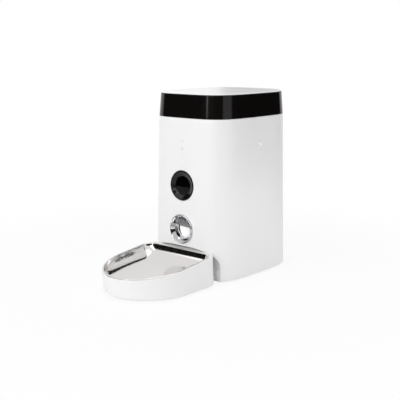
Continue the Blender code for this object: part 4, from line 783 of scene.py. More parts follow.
class Pattern(Graph):
    """A geometry tree that repeats a solid or sweeps one along a path."""

    def __init__(self, name: str, **sizes):
        """Starts the tree with its named inputs.

        Args:
            name: The tree's name.
            sizes: The inputs: whole numbers for counts and other numbers for lengths.
        """
        super().__init__(bpy.data.node_groups.new(name, "GeometryNodeTree"))
        interface = self.tree.interface
        interface.new_socket("Geometry", in_out="INPUT", socket_type="NodeSocketGeometry")
        interface.new_socket("Geometry", in_out="OUTPUT", socket_type="NodeSocketGeometry")
        self.settings = {}
        for label, value in sizes.items():
            kind = "NodeSocketInt" if isinstance(value, int) else "NodeSocketFloat"
            self.settings[interface.new_socket(label, in_out="INPUT", socket_type=kind).identifier] = value
        self.source = self.node("NodeGroupInput")
        self.result = self.node("NodeGroupOutput")

    def size(self, label: str) -> Value:
        """Gives a named input.

        Args:
            label: Its name.

        Returns:
            Its value.
        """
        return Value(self, self.source.outputs[label])

    def repeat(self, points) -> "Pattern":
        """Puts the tree's own solid on every point.

        Args:
            points: The socket of the points.

        Returns:
            The same tree, ended.
        """
        placed = self.node("GeometryNodeInstanceOnPoints", {"Points": points,
                                                            "Instance": self.source.outputs["Geometry"]})
        return self.end(placed.outputs["Instances"])

    def end(self, shape) -> "Pattern":
        """Ends the tree with real meshes, white until the piece gets its own finish.

        Args:
            shape: The socket of the shape.

        Returns:
            The same tree.
        """
        real = self.node("GeometryNodeRealizeInstances", {"Geometry": shape})
        coated = self.node("GeometryNodeSetMaterial", {"Geometry": real.outputs["Geometry"],
                                                       "Material": WHITE.material()})
        self.tree.links.new(coated.outputs["Geometry"], self.result.inputs["Geometry"])
        return self

    def run(self, solid: Solid) -> Solid:
        """Runs the tree on a solid and keeps the result as a plain mesh.

        Args:
            solid: The solid that is repeated or swept.

        Returns:
            The result.
        """
        item = linked("pattern", solid.mesh)
        step = item.modifiers.new("pattern", "NODES")
        step.node_group = self.tree
        for identifier, value in self.settings.items():
            step[identifier] = value
        solid.mesh = taken_from(item)
        return solid


def on_rectangle(name: str, spacing_x: float, spacing_y: float) -> Pattern:
    """Builds the tree that puts a solid on the four corners of a rectangle.

    Args:
        name: The tree's name.
        spacing_x: Distance across.
        spacing_y: Distance along.

    Returns:
        The tree.
    """
    tree = Pattern(name, spacing_x=spacing_x, spacing_y=spacing_y)
    grid = tree.node("GeometryNodeMeshGrid", {"Size X": tree.size("spacing_x"), "Size Y": tree.size("spacing_y"),
                                              "Vertices X": 2, "Vertices Y": 2})
    return tree.repeat(grid.outputs["Mesh"])


def on_ring(name: str, count: int, radius: float) -> Pattern:
    """Builds the tree that puts a solid on a ring of points.

    Args:
        name: The tree's name.
        count: How many points.
        radius: Radius of the ring.

    Returns:
        The tree.
    """
    tree = Pattern(name, count=count, radius=radius)
    ring = tree.node("GeometryNodeMeshCircle", {"Vertices": tree.size("count"), "Radius": tree.size("radius")})
    return tree.repeat(ring.outputs["Mesh"])


def in_round_field(name: str, count: int, pitch: float, field_radius: float, master_half: float) -> Pattern:
    """Builds the tree that repeats a slot side by side and stretches each to a round field.

    Args:
        name: The tree's name.
        count: How many slots.
        pitch: Distance between slots.
        field_radius: Radius of the field.
        master_half: Half the length of the slot that is repeated.

    Returns:
        The tree.
    """
    tree = Pattern(name, count=count, pitch=pitch, field_radius=field_radius, master_half=master_half)
    start = (tree.size("count") - 1.0) * tree.size("pitch") * -0.5
    row = tree.node("GeometryNodeMeshLine", {"Count": tree.size("count"), "Start Location": tree.vector(start),
                                             "Offset": tree.vector(tree.size("pitch"))}, mode="OFFSET")
    across = tree.parts(tree.node("GeometryNodeInputPosition").outputs[0])[0]
    marked = tree.node("GeometryNodeStoreNamedAttribute",
                       {"Geometry": row.outputs["Mesh"], "Name": "across", "Value": across}, data_type="FLOAT",
                       domain="POINT")
    placed = tree.node("GeometryNodeInstanceOnPoints", {"Points": marked.outputs["Geometry"],
                                                        "Instance": tree.source.outputs["Geometry"]})
    real = tree.node("GeometryNodeRealizeInstances", {"Geometry": placed.outputs["Instances"]})
    place = Value(tree, tree.node("GeometryNodeInputNamedAttribute", {"Name": "across"},
                                  data_type="FLOAT").outputs["Attribute"])
    half = (tree.size("field_radius") ** 2.0 - place ** 2.0).root()
    along = tree.parts(tree.node("GeometryNodeInputPosition").outputs[0])[1]
    stretch = along.sign() * (half - tree.size("master_half"))
    moved = tree.node("GeometryNodeSetPosition", {"Geometry": real.outputs["Geometry"],
                                                  "Offset": tree.vector(0.0, stretch)})
    return tree.end(moved.outputs["Geometry"])


def coiled(name: str, turns: float, radius: float, wire: float, length: float) -> Pattern:
    """Builds the tree that winds round wire into a coil with closed end turns.

    Args:
        name: The tree's name.
        turns: Turns of the open part.
        radius: Radius to the wire's middle.
        wire: Radius of the wire.
        length: Length of the coil.

    Returns:
        The tree.
    """
    tree = Pattern(name, turns=turns, radius=radius, wire=wire, length=length)
    body = tree.size("length") - tree.size("wire") * 6.0
    path = []
    for rotations, height, lift in ((1.0, tree.size("wire") * 2.0, tree.size("wire")),
                                    (tree.size("turns"), body, tree.size("wire") * 3.0),
                                    (1.0, tree.size("wire") * 2.0, tree.size("wire") * 3.0 + body)):
        spiral = tree.node("GeometryNodeCurveSpiral", {
            "Resolution": 24, "Rotations": rotations, "Start Radius": tree.size("radius"),
            "End Radius": tree.size("radius"), "Height": height})
        shifted = tree.node("GeometryNodeTransform", {"Geometry": spiral.outputs["Curve"],
                                                      "Translation": tree.vector(0.0, 0.0, lift)})
        path.append(shifted.outputs["Geometry"])
    wire_section = tree.node("GeometryNodeCurvePrimitiveCircle", {"Resolution": 10, "Radius": tree.size("wire")})
    together = tree.node("GeometryNodeJoinGeometry")
    for part in path:
        tree.tree.links.new(part, together.inputs[0])
    swept = tree.node("GeometryNodeCurveToMesh", {"Curve": together.outputs[0],
                                                  "Profile Curve": wire_section.outputs["Curve"],
                                                  "Fill Caps": True})
    return tree.end(swept.outputs["Mesh"])


CAMERA_HEIGHT = 159.4 * MM
OUTLET_HEIGHT = 85.5 * MM
BUTTON_HEIGHT = 223.7 * MM
BOWL_BACK = -31.45 * MM
BOWL_CORNER = 20.0 * MM
WALL = 2.6 * MM
STANDING_HEIGHT = 2.7 * MM


class Side(Enum):
    """The two sides that mirror each other, with the sign of X."""

    RIGHT = 1
    LEFT = -1


@dataclass(frozen=True)
class Tower:
    """The outside form of the tapered tower, which several pieces follow."""

    floor_width: float = 171.0 * MM
    floor_depth: float = 217.0 * MM
    seam_width: float = 162.0 * MM
    seam_depth: float = 206.0 * MM
    top_width: float = 157.5 * MM
    top_depth: float = 200.0 * MM
    seam: float = 271.4 * MM
    top: float = 310.0 * MM
    lift: float = STANDING_HEIGHT
    centre_y: float = 78.35 * MM
    squareness: float = 3.9
    points: int = 320

    def angles(self) -> np.ndarray:
        """Gives the angles at which points of the outline lie at equal distances.

        Returns:
            The angles.
        """
        dense = np.linspace(0, 2 * math.pi, 6001)
        outline = self.outline(dense, self.floor_width / 2, self.floor_depth / 2)
        lengths = np.concatenate([[0], np.cumsum(np.linalg.norm(np.diff(outline, axis=0), axis=1))])
        wanted = np.linspace(0, lengths[-1], self.points, endpoint=False)
        return np.interp(wanted, lengths, dense)

    def outline(self, angles: np.ndarray, half_x: float, half_y: float) -> np.ndarray:
        """Gives the rounded outline at some angles.

        Args:
            angles: The angles.
            half_x: Half its width.
            half_y: Half its depth.

        Returns:
            (x, y) rows.
        """
        power = 2 / self.squareness
        cosine, sine = np.cos(angles), np.sin(angles)
        x = half_x * np.sign(cosine) * np.abs(cosine) ** power
        y = half_y * np.sign(sine) * np.abs(sine) ** power
        return np.column_stack([x, y])

    def halves(self, height: float) -> tuple:
        """Gives half the width and half the depth at a height.

        Args:
            height: The height.

        Returns:
            The two halves.
        """
        if height <= self.seam:
            share = height / self.seam
            ends = (self.floor_width, self.seam_width, self.floor_depth, self.seam_depth)
        else:
            share = (height - self.seam) / (self.top - self.seam)
            ends = (self.seam_width, self.top_width, self.seam_depth, self.top_depth)
        return (ends[0] + (ends[1] - ends[0]) * share) / 2, (ends[2] + (ends[3] - ends[2]) * share) / 2

    def ring(self, height: float, inset: float = 0.0, lift: float = 0.0) -> np.ndarray:
        """Gives the outline at a height.

        Args:
            height: Where the outline is read.
            inset: How far it is drawn in.
            lift: How much higher it is placed.

        Returns:
            Points of the ring.
        """
        half_x, half_y = self.halves(height)
        flat = self.outline(self.angles(), half_x - inset, half_y - inset)
        return np.column_stack([flat[:, 0], flat[:, 1] + self.centre_y, np.full(len(flat), height + lift)])

    def lean(self) -> float:
        """Gives the lean of the front and rear faces in radians."""
        return math.atan((self.floor_depth - self.seam_depth) / 2 / self.seam)

    def front(self, height: float) -> Matrix:
        """Gives the transform that lays a turned part into the front face.

        Args:
            height: Height of its axis along the face.

        Returns:
            The transform; +Z of the part goes into the tower.
        """
        face = Matrix.Translation((0, self.centre_y - self.floor_depth / 2, 0)) @ Matrix.Rotation(-self.lean(), 4, "X")
        return face @ Matrix.Translation((0, 0, height)) @ Matrix.Rotation(-math.pi / 2, 4, "X")

    def rear(self, height: float, x: float = 0.0) -> Matrix:
        """Gives the transform that lays a turned part into the rear face.

        Args:
            height: Height of its axis along the face.
            x: Its place across the face, seen from behind.

        Returns:
            The transform; +Z of the part goes into the tower.
        """
        face = Matrix.Translation((0, self.centre_y + self.floor_depth / 2, 0)) @ Matrix.Rotation(math.pi, 4, "Z")
        face = face @ Matrix.Rotation(-self.lean(), 4, "X")
        return face @ Matrix.Translation((x, 0, height)) @ Matrix.Rotation(-math.pi / 2, 4, "X")

    def side(self, side: Side, height: float) -> Matrix:
        """Gives the transform that lays a turned part into a side face.

        Args:
            side: Which side.
            height: Height of its axis.

        Returns:
            The transform; +Z of the part comes out of the tower from the middle plane.
        """
        turn = Matrix.Rotation(side.value * math.pi / 2, 4, "Y")
        return Matrix.Translation((0, self.centre_y, height)) @ turn


@dataclass(frozen=True)
class SubAssembly:
    """A group of pieces that is built together."""

    tower: Tower = field(default_factory=Tower)

    def build(self) -> None:
        """Makes the pieces."""
        raise NotImplementedError


@dataclass(frozen=True)
class Housing(SubAssembly):
    """The white shell of the tower with every opening in it."""

    wall: float = WALL
    foot_edge: float = 1.4 * MM
    seam_edge: float = 0.5 * MM
    edge: float = 0.5 * MM
    arch_half_width: float = 74.5 * MM
    arch_height: float = 57.3 * MM
    arch_depth: float = 18.5 * MM
    arch_squareness: float = 3.5
    camera_height: float = CAMERA_HEIGHT
    camera_radius: float = 25.5 * MM
    outlet_height: float = OUTLET_HEIGHT
    outlet_radius: float = 21.9 * MM
    microphone_height: float = 233.3 * MM
    sensor_height: float = 209.0 * MM
    port_radius: float = 0.8 * MM
    sensor_share: float = 0.8
    light_height: float = 221.2 * MM
    light_length: float = 5.0 * MM
    light_width: float = 2.2 * MM
    button_height: float = BUTTON_HEIGHT
    button_radius: float = 8.5 * MM
    inlet_height: float = 62.0 * MM
    inlet_side: float = 20.0 * MM
    inlet_radius: float = 6.3 * MM
    slot_count: int = 7
    slot_pitch: float = 4.6 * MM
    slot_width: float = 2.0 * MM
    slot_field: float = 17.0 * MM
    slot_height: float = 112.0 * MM
    tongue_half: float = 26.6 * MM
    tongue_low: float = 6.2 * MM
    tongue_high: float = 10.1 * MM

    def arch_back(self) -> float:
        """Gives the Y of the recess's back wall."""
        return self.tower.centre_y - self.tower.floor_depth / 2 + self.arch_depth

    def arch(self, grow: float) -> Solid:
        """Makes the recess under the front.

        Args:
            grow: How much larger than the recess it is.

        Returns:
            The solid.
        """
        back = self.arch_back()
        angles = np.linspace(0, 2 * math.pi, 240, endpoint=False)
        shape = Tower(squareness=self.arch_squareness)
        rings = []
        for y, inset in ((-0.2, 0.0), (back - self.wall, 0.0), (back - self.wall / 3, self.wall / 6),
                         (back, self.wall * 0.7)):
            flat = shape.outline(angles, self.arch_half_width + grow - inset, self.arch_height + grow - inset)
            rings.append(np.column_stack([flat[:, 0], np.full(len(flat), y + grow), flat[:, 1]]))
        return Solid.loft(rings)

    def port(self, radius: float) -> Solid:
        """Makes the tool for a round hole with a softened edge.

        Args:
            radius: Radius of the hole.

        Returns:
            The solid; +Z goes into the wall.
        """
        flare = [(radius + self.edge * (1 - math.cos(a)), self.edge * (1 - math.sin(a)))
                 for a in quarter(5)]
        wide = flare[-1][0]
        return Solid.lathe([(0.0, 4 * self.wall), (radius, 4 * self.wall), *flare, (wide, -self.wall),
                            (0.0, -self.wall)], 96)

    def stadium(self, length: float, width: float) -> Solid:
        """Makes the tool for a slot with round ends.

        Args:
            length: Its length along Y.
            width: Its width.

        Returns:
            The solid; +Z goes into the wall.
        """
        half = length / 2 - width / 2
        upper = [(width / 2 * math.cos(a), half + width / 2 * math.sin(a)) for a in np.linspace(0, math.pi, 13)]
        lower = [(-x, -y) for x, y in upper]
        return Solid.prism(upper + lower, -self.wall, 4 * self.wall)

    def build(self) -> None:
        """Makes the shell."""
        tower = self.tower
        outside = [tower.ring(tower.lift + self.foot_edge * (1 - math.sin(a)), self.foot_edge * (1 - math.cos(a)))
                   for a in np.linspace(math.pi / 2, 0, 6)]
        levels = np.linspace(tower.lift + self.foot_edge, tower.seam - self.seam_edge, 34)
        outside += [tower.ring(height) for height in levels[1:]]
        outside += [tower.ring(tower.seam - self.seam_edge * (1 - math.sin(a)), self.seam_edge * (1 - math.cos(a)))
                    for a in quarter(4)[1:]]
        inside = [tower.ring(height, self.wall, 0.0) for height in np.linspace(0, tower.seam, 12)]
        inside.append(tower.ring(tower.seam, self.wall, self.wall))
        shell = Solid.loft(outside).cut(self.arch(0.0), Solid.loft(inside).cut(self.arch(self.wall)))
        tools = [
            self.port(self.camera_radius).moved(tower.front(self.camera_height)),
            self.port(self.outlet_radius).moved(tower.front(self.outlet_height)),
            self.port(self.port_radius).moved(tower.front(self.microphone_height)),
            self.port(self.port_radius * self.sensor_share).moved(tower.front(self.sensor_height)),
            self.stadium(self.light_length, self.light_width).moved(tower.front(self.light_height)),
            self.port(self.inlet_radius).moved(tower.rear(self.inlet_height, self.inlet_side))]
        slots = in_round_field("speaker_slots", self.slot_count, self.slot_pitch, self.slot_field,
                               self.slot_field).run(self.stadium(2 * self.slot_field, self.slot_width))
        tools.append(slots.moved(tower.rear(self.slot_height)))
        for side in Side:
            reach = tower.halves(self.button_height)[0]
            inward = Matrix.Translation((0, 0, reach)) @ Matrix.Rotation(math.pi, 4, "X")
            tools.append(self.port(self.button_radius).moved(tower.side(side, self.button_height) @ inward))
        back = self.arch_back()
        tools.append(Solid.block((-self.tongue_half, back - self.wall, self.tongue_low),
                                 (self.tongue_half, back + 2 * self.wall, self.tongue_high)))
        shell.cut(*tools).piece("tower_shell", WHITE, "tower", "body_shell")


@dataclass(frozen=True)
class Lid(SubAssembly):
    """The glossy black band and the white panel on top of it."""

    gap: float = 0.6 * MM
    wall: float = WALL
    edge: float = 0.7 * MM
    panel_rise: float = 0.3 * MM
    panel_thickness: float = 2.0 * MM
    panel_inset: float = 0.2 * MM
    panel_edge: float = 1.2 * MM
    spigot: float = 6.0 * MM
    crown_rings: int = 24

    def band_section(self) -> list:
        """Gives the section of the band as (inset, height) points.

        Returns:
            The closed outline.
        """
        low, high = self.tower.seam + self.gap, self.tower.top
        levels = [(0.0, z) for z in np.linspace(low + 2 * self.edge, high - 2 * self.edge, 8)]
        corners = [(0.0, low, self.edge * 0.6), *levels, (0.0, high, self.edge), (self.wall, high, self.edge * 0.5),
                   (self.wall, low, self.edge * 0.5)]
        return rounded(corners, 5)

    def build(self) -> None:
        """Makes the band and the panel."""
        tower = self.tower
        rings = [tower.ring(height, inset) for inset, height in self.band_section()]
        Solid.loft(rings, closed=True).piece("lid_gloss_band", BLACK, "lid", "lid_band")
        under = tower.top + self.panel_rise
        top = under + self.panel_thickness
        plug = self.wall + self.panel_rise
        section = [(plug + self.panel_rise, tower.top - self.spigot), (plug, under), (self.panel_inset, under)]
        section += [(self.panel_inset + self.panel_edge * (1 - math.cos(a)),
                     top - self.panel_edge * (1 - math.sin(a))) for a in quarter(7)]
        section += [(self.panel_inset + self.panel_edge + reach, top)
                    for reach in np.linspace(0, tower.top_width / 2 - 3 * self.panel_edge, self.crown_rings)[1:]]
        rings = [tower.ring(tower.top, inset, height - tower.top) for inset, height in section]
        Solid.loft(rings).piece("lid_panel", WHITE, "lid", "lid_top_panel")


@dataclass(frozen=True)
class CameraUnit(SubAssembly):
    """The round black camera in the front face."""

    height: float = CAMERA_HEIGHT
    radius: float = 25.3 * MM
    proud: float = 0.8 * MM
    lip: float = 1.7 * MM
    dish: float = 2.4 * MM
    barrel: float = 21.0 * MM
    depth: float = 8.5 * MM
    window_radius: float = 16.0 * MM
    window_thickness: float = 1.6 * MM
    lens_radius: float = 7.2 * MM
    lens_back: float = 14.7 * MM
    window_gap: float = 0.15 * MM
    edge: float = 0.5 * MM
    wall: float = WALL

    def build(self) -> None:
        """Makes the bezel, the window and the lens."""
        seat = self.tower.front(self.height)
        gap, edge = self.window_gap, self.edge
        back = self.dish + self.window_thickness
        bezel = rounded([
            (self.radius, self.wall), (self.radius, -self.proud, self.proud * 0.9),
            (self.radius - self.lip, -self.proud, self.proud * 0.8),
            (self.window_radius + 1.2 * MM, self.dish - 0.5 * MM, edge), (self.window_radius + gap, self.dish, gap),
            (self.window_radius + gap, back + gap), (self.lens_radius + self.lip, back + gap),
            (self.lens_radius + self.lip, back + self.lip), (self.barrel - self.lip, back + self.lip),
            (self.barrel - self.lip, self.depth), (self.barrel, self.depth), (self.barrel, self.wall)], 6)
        Solid.lathe(bezel, 144).moved(seat).piece("camera_ring", BLACK, "tower", "camera_bezel")
        window = rounded([(0.0, self.dish), (self.window_radius, self.dish, 0.4 * MM), (self.window_radius, back),
                          (0.0, back)], 5)
        Solid.lathe(window, 128).moved(seat).piece("camera_glass", SMOKE, "tower", "camera_window")
        front = back + 2 * gap
        dome = [(self.lens_radius * math.sin(a), front + 2.4 * MM * (1 - math.cos(a)))
                for a in np.linspace(0, math.pi / 3, 8)]
        ledge = dome[-1][1]
        lens = dome + rounded([(self.lens_radius, ledge, 0.2 * MM), (self.lens_radius, self.lens_back, 0.2 * MM),
                               (0.0, self.lens_back)], 3)
        Solid.lathe(lens, 96).moved(seat).piece("camera_lens_barrel", DARK, "tower", "camera_lens")


@dataclass(frozen=True)
class Outlet(SubAssembly):
    """The chromed collar of the food outlet with its hinged flap and the chute behind them."""

    height: float = OUTLET_HEIGHT
    radius: float = 25.0 * MM
    proud: float = 3.0 * MM
    lip: float = 2.0 * MM
    bore: float = 17.6 * MM
    barrel: float = 20.9 * MM
    spigot: float = 21.6 * MM
    dish: float = 2.7 * MM
    dish_power: float = 1.2
    depth: float = 13.7 * MM
    wall: float = WALL
    gap: float = 0.3 * MM
    flap_depth: float = 4.1 * MM
    flap_rise: float = 14.0 * MM
    flap_radius: float = 17.0 * MM
    flap_edge: float = 6.0 * MM
    flap_shoulder: float = 9.5 * MM
    flap_thickness: float = 1.6 * MM
    eye: float = 2.1 * MM
    pin: float = 1.0 * MM
    pin_seat: float = 2.0 * MM
    chute_bore: float = 14.6 * MM
    chute_wall: float = 2.0 * MM
    chute_slope: float = math.radians(43)
    chute_mouth: tuple = (-14.417 * MM, 88.163 * MM)

    def collar(self) -> Solid:
        """Makes the collar with its rounded crest and dished face."""
        crest = self.radius - self.lip
        turns = np.linspace(math.asin(self.gap / self.proud), math.pi / 2, 14)
        section = [(crest + self.lip * math.cos(a), -self.proud * math.sin(a)) for a in turns]
        section += [(crest - (crest - self.bore) * share, (self.dish + self.proud) * share ** self.dish_power
                     - self.proud) for share in np.linspace(0, 1, 16)[1:-1]]
        section += rounded([(self.bore, self.dish, 0.25 * MM), (self.bore, self.depth, 0.2 * MM),
                            (self.barrel, self.depth), (self.barrel, self.wall + self.gap),
                            (self.spigot, self.wall), (self.spigot, -self.gap)], 4)
        return Solid.lathe(section, 192)

    def across(self, radius: float, half: float, edge: float) -> Solid:
        """Makes a rod or tool that lies on the hinge.

        Args:
            radius: Its radius.
            half: Half its length.
            edge: Rounding of its ends.

        Returns:
            The solid in the collar's own coordinates.
        """
        section = rounded([(0.0, -half), (radius, -half, edge), (radius, half, edge), (0.0, half)], 4)
        hinge = Matrix.Translation((0, -self.flap_rise, self.flap_depth))
        return Solid.lathe(section, 40).moved(hinge @ Matrix.Rotation(math.pi / 2, 4, "Y"))

    def flap(self) -> Solid:
        """Makes the flap: a slice of a disc with sloping shoulders up to its eye."""
        half_eye = math.sqrt(self.flap_radius ** 2 - (self.flap_rise + self.eye) ** 2)
        low, high = (math.asin(rise / self.flap_radius) for rise in (self.flap_edge, self.flap_shoulder))
        right = [(self.flap_radius * math.cos(a), self.flap_radius * math.sin(a)) for a in np.linspace(low, high, 12)]
        right.append((half_eye, self.flap_rise - self.eye / 2))
        outline = [(x, -rise) for x, rise in right + [(-x, rise) for x, rise in reversed(right)]]
        plate = Solid.prism(outline, self.flap_depth - self.flap_thickness / 2,
                            self.flap_depth + self.flap_thickness / 2).softened(self.gap)
        bore = self.across(self.pin + self.gap, 2 * half_eye, 0.0)
        return plate.join(self.across(self.eye, half_eye, self.gap)).cut(bore)

    def chute(self, seat: Matrix) -> Solid:
        """Makes the sloping tube from the metering cup to the collar.

        Args:
            seat: The transform of the collar.

        Returns:
            The solid, in place.
        """
        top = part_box("chute")[1][2]
        outer = self.chute_bore + self.chute_wall
        length = (top - self.chute_mouth[1]) / math.sin(self.chute_slope) + 2 * outer
        place = Matrix.Translation((0, *self.chute_mouth)) @ Matrix.Rotation(self.chute_slope - math.pi / 2, 4, "X")
        section = [(self.chute_bore, -2 * outer), (outer, -2 * outer), (outer, length), (self.chute_bore, length)]
        reach = 8 * outer
        front = Solid.block((-reach, -reach, -reach), (reach, reach, self.depth + 2 * self.gap)).moved(seat)
        above = Solid.block((-reach, -reach, top), (reach, reach, reach))
        return Solid.lathe(section, 128).moved(place).cut(front, above)

    def build(self) -> None:
        """Makes the collar, the flap, its pin and the chute."""
        seat = self.tower.front(self.height)
        half_pin = math.sqrt(self.bore ** 2 - self.flap_rise ** 2) + self.pin_seat
        pin_hole = self.across(self.pin + self.gap, half_pin + self.gap, 0.0)
        self.collar().cut(pin_hole).moved(seat).piece("outlet_ring", CHROME, "tower", "outlet_collar")
        self.flap().moved(seat).piece("outlet_shutter", GREY, "flap", "outlet_flap")
        self.across(self.pin, half_pin, self.gap).moved(seat).piece("shutter_pin", BRIGHT, "tower", "flap_pin")
        self.chute(seat).piece("food_chute", CHUTE_WHITE, "tower", "chute")


@dataclass(frozen=True)
class ReleaseButtons(SubAssembly):
    """The round dished buttons that free the lid."""

    height: float = BUTTON_HEIGHT
    radius: float = 8.2 * MM
    sunk: float = 0.4 * MM
    thickness: float = 4.0 * MM
    dish: float = 2.4 * MM
    socket: float = 4.3 * MM
    socket_depth: float = 1.3 * MM

    def build(self) -> None:
        """Makes both buttons."""
        face = self.tower.halves(self.height)[0] - self.sunk
        back = face - self.thickness
        rim = self.radius - 1.1 * MM
        hollow = [(rim * (1 - share), face - self.dish * math.sin(math.pi / 2 * share))
                  for share in np.linspace(0.06, 1, 14)]
        for side in Side:
            section = rounded([(self.socket, back + self.socket_depth), (self.socket, back), (self.radius, back),
                               (self.radius, face, 0.6 * MM), (rim, face, 0.3 * MM)], 5)
            section += hollow + [(0.0, back + self.socket_depth)]
            name = side.name.lower()
            Solid.lathe(section, 96).moved(self.tower.side(side, self.height)).piece(
                f"push_button_{name}", WHITE, f"release_{name}", f"release_button_{name}")


@dataclass(frozen=True)
class TrayForm:
    """The outline that the tray and the bowl share, seen from above."""

    half_width: float = 74.4 * MM
    nose: float = 87.9 * MM
    corner: float = 22.8 * MM
    back: float = -20.85 * MM
    centre: float = -98.95 * MM
    rim_back: float = 53.4 * MM
    slope: float = 0.11
    nose_steps: int = 150
    corner_steps: int = 24
    side_steps: int = 24
    back_steps: int = 36

    def outline(self, half_width: float, nose: float, corner: float, back: float) -> np.ndarray:
        """Gives the outline: half an ellipse in front and rounded corners behind.

        Args:
            half_width: Half its width.
            nose: Length of the ellipse.
            corner: Radius of the back corners.
            back: Y of the back edge.

        Returns:
            (x, y) rows.
        """
        points = []
        for a in np.linspace(0, math.pi, self.nose_steps, endpoint=False):
            points.append((half_width * math.cos(a), self.centre - nose * math.sin(a)))
        for share in np.linspace(0, 1, self.side_steps, endpoint=False):
            points.append((-half_width, self.centre + (back - corner - self.centre) * share))
        for a in np.linspace(0, math.pi / 2, self.corner_steps, endpoint=False):
            points.append((-half_width + corner * (1 - math.cos(a)), back - corner * (1 - math.sin(a))))
        for share in np.linspace(0, 1, self.back_steps, endpoint=False):
            points.append(((half_width - corner) * (2 * share - 1), back))
        for a in np.linspace(0, math.pi / 2, self.corner_steps, endpoint=False):
            points.append((half_width - corner * (1 - math.sin(a)), back - corner * (1 - math.cos(a))))
        for share in np.linspace(0, 1, self.side_steps, endpoint=False):
            points.append((half_width, back - corner + (self.centre - back + corner) * share))
        return np.array(points)

    def rim(self, y: np.ndarray) -> np.ndarray:
        """Gives the height of the sloping rim.

        Args:
            y: Places along the tray.

        Returns:
            The heights.
        """
        return self.rim_back + self.slope * (y - self.back)


@dataclass(frozen=True)
class FoodTray(SubAssembly):
    """The white tray with its neck and tongue."""

    form: TrayForm = field(default_factory=TrayForm)
    spread: float = 2.0 * MM
    rake: float = 5.0 * MM
    lift: float = STANDING_HEIGHT
    floor: float = 2.4 * MM
    foot_edge: float = 2.6 * MM
    rim_edge: float = 1.0 * MM
    ledge: float = 2.8 * MM
    bowl_back: float = BOWL_BACK
    bowl_corner: float = BOWL_CORNER
    clearance: float = 0.6 * MM
    neck_half: float = 40.0 * MM
    neck_low: float = 7.0 * MM
    neck_high: float = 40.0 * MM
    tongue_half: float = 26.0 * MM
    tongue_low: float = 6.5 * MM
    tongue_high: float = 9.5 * MM
    tongue_reach: float = 27.0 * MM

    def wall_ring(self, share: float, inset: float, rise: float = 0.0) -> np.ndarray:
        """Gives a ring of the outer wall.

        Args:
            share: 0 at the foot, 1 at the rim.
            inset: How far it is drawn in.
            rise: How much higher it is placed.

        Returns:
            Points of the ring.
        """
        form = self.form
        foot = form.outline(form.half_width + self.spread - inset, form.nose - self.rake - inset,
                            max(form.corner - inset, MM), form.back - inset)
        rim = form.outline(form.half_width - inset, form.nose - inset, max(form.corner - inset, MM),
                           form.back - inset)
        flat = foot + (rim - foot) * share
        low = np.full(len(flat), self.lift)
        height = low + (form.rim(flat[:, 1]) - low) * share + rise
        return np.column_stack([flat, height])

    def hollow_ring(self, inset: float, share: float) -> np.ndarray:
        """Gives a ring of the hollow that takes the bowl.

        Args:
            inset: How far it is drawn in from the bowl's outline.
            share: 0 at the floor, 1 at the rim.

        Returns:
            Points of the ring.
        """
        form = self.form
        edge = 0.5 * MM + inset
        flat = form.outline(form.half_width - edge, form.nose - edge, max(self.bowl_corner - inset, MM),
                            self.bowl_back - inset)
        low = np.full(len(flat), self.lift + self.floor)
        return np.column_stack([flat, low + (form.rim(flat[:, 1]) - low) * share])

    def build(self) -> None:
        """Makes the tray."""
        form = self.form
        centre_steps = np.linspace(form.half_width * 0.94, self.foot_edge, 10)
        rings = [self.wall_ring(0.0, inset) for inset in centre_steps[:-1]]
        rings += [self.wall_ring(0.0, self.foot_edge * (1 - math.sin(a)), self.foot_edge * (1 - math.cos(a)))
                  for a in quarter(8)]
        rings += [self.wall_ring(share, 0.0, self.foot_edge * (1 - share)) for share in np.linspace(0.05, 0.97, 16)]
        rings += [self.wall_ring(1.0, self.rim_edge * (1 - math.cos(a)), -self.rim_edge * (1 - math.sin(a)))
                  for a in quarter(6)]
        rings += [self.hollow_ring(self.ledge - 0.3 * MM, 1.0), self.hollow_ring(self.ledge, 0.98)]
        rings += [self.hollow_ring(self.ledge, share) for share in np.linspace(0.9, 0.0, 6)]
        rings += [self.hollow_ring(inset, 0.0) for inset in np.linspace(self.ledge, form.half_width * 0.92, 8)[1:]]
        tray = Solid.loft(rings)
        tower, housing = self.tower, Housing()
        wall = [tower.ring(0.0, -self.clearance, -self.lift), tower.ring(form.rim_back + self.clearance,
                                                                         -self.clearance, self.lift)]
        keep_out = Solid.loft(wall).cut(housing.arch(-self.clearance))
        recess = housing.arch_back()
        neck = Solid.block((-self.neck_half, form.back - self.ledge, self.neck_low),
                           (self.neck_half, recess - self.clearance / 2, self.neck_high)).softened(self.clearance)
        tongue = Solid.block((-self.tongue_half, form.back, self.tongue_low),
                             (self.tongue_half, recess + self.tongue_reach, self.tongue_high))
        tongue.softened(self.clearance)
        tray.cut(keep_out).join(neck, tongue).piece("food_tray", WHITE, "tray", "bowl_tray")


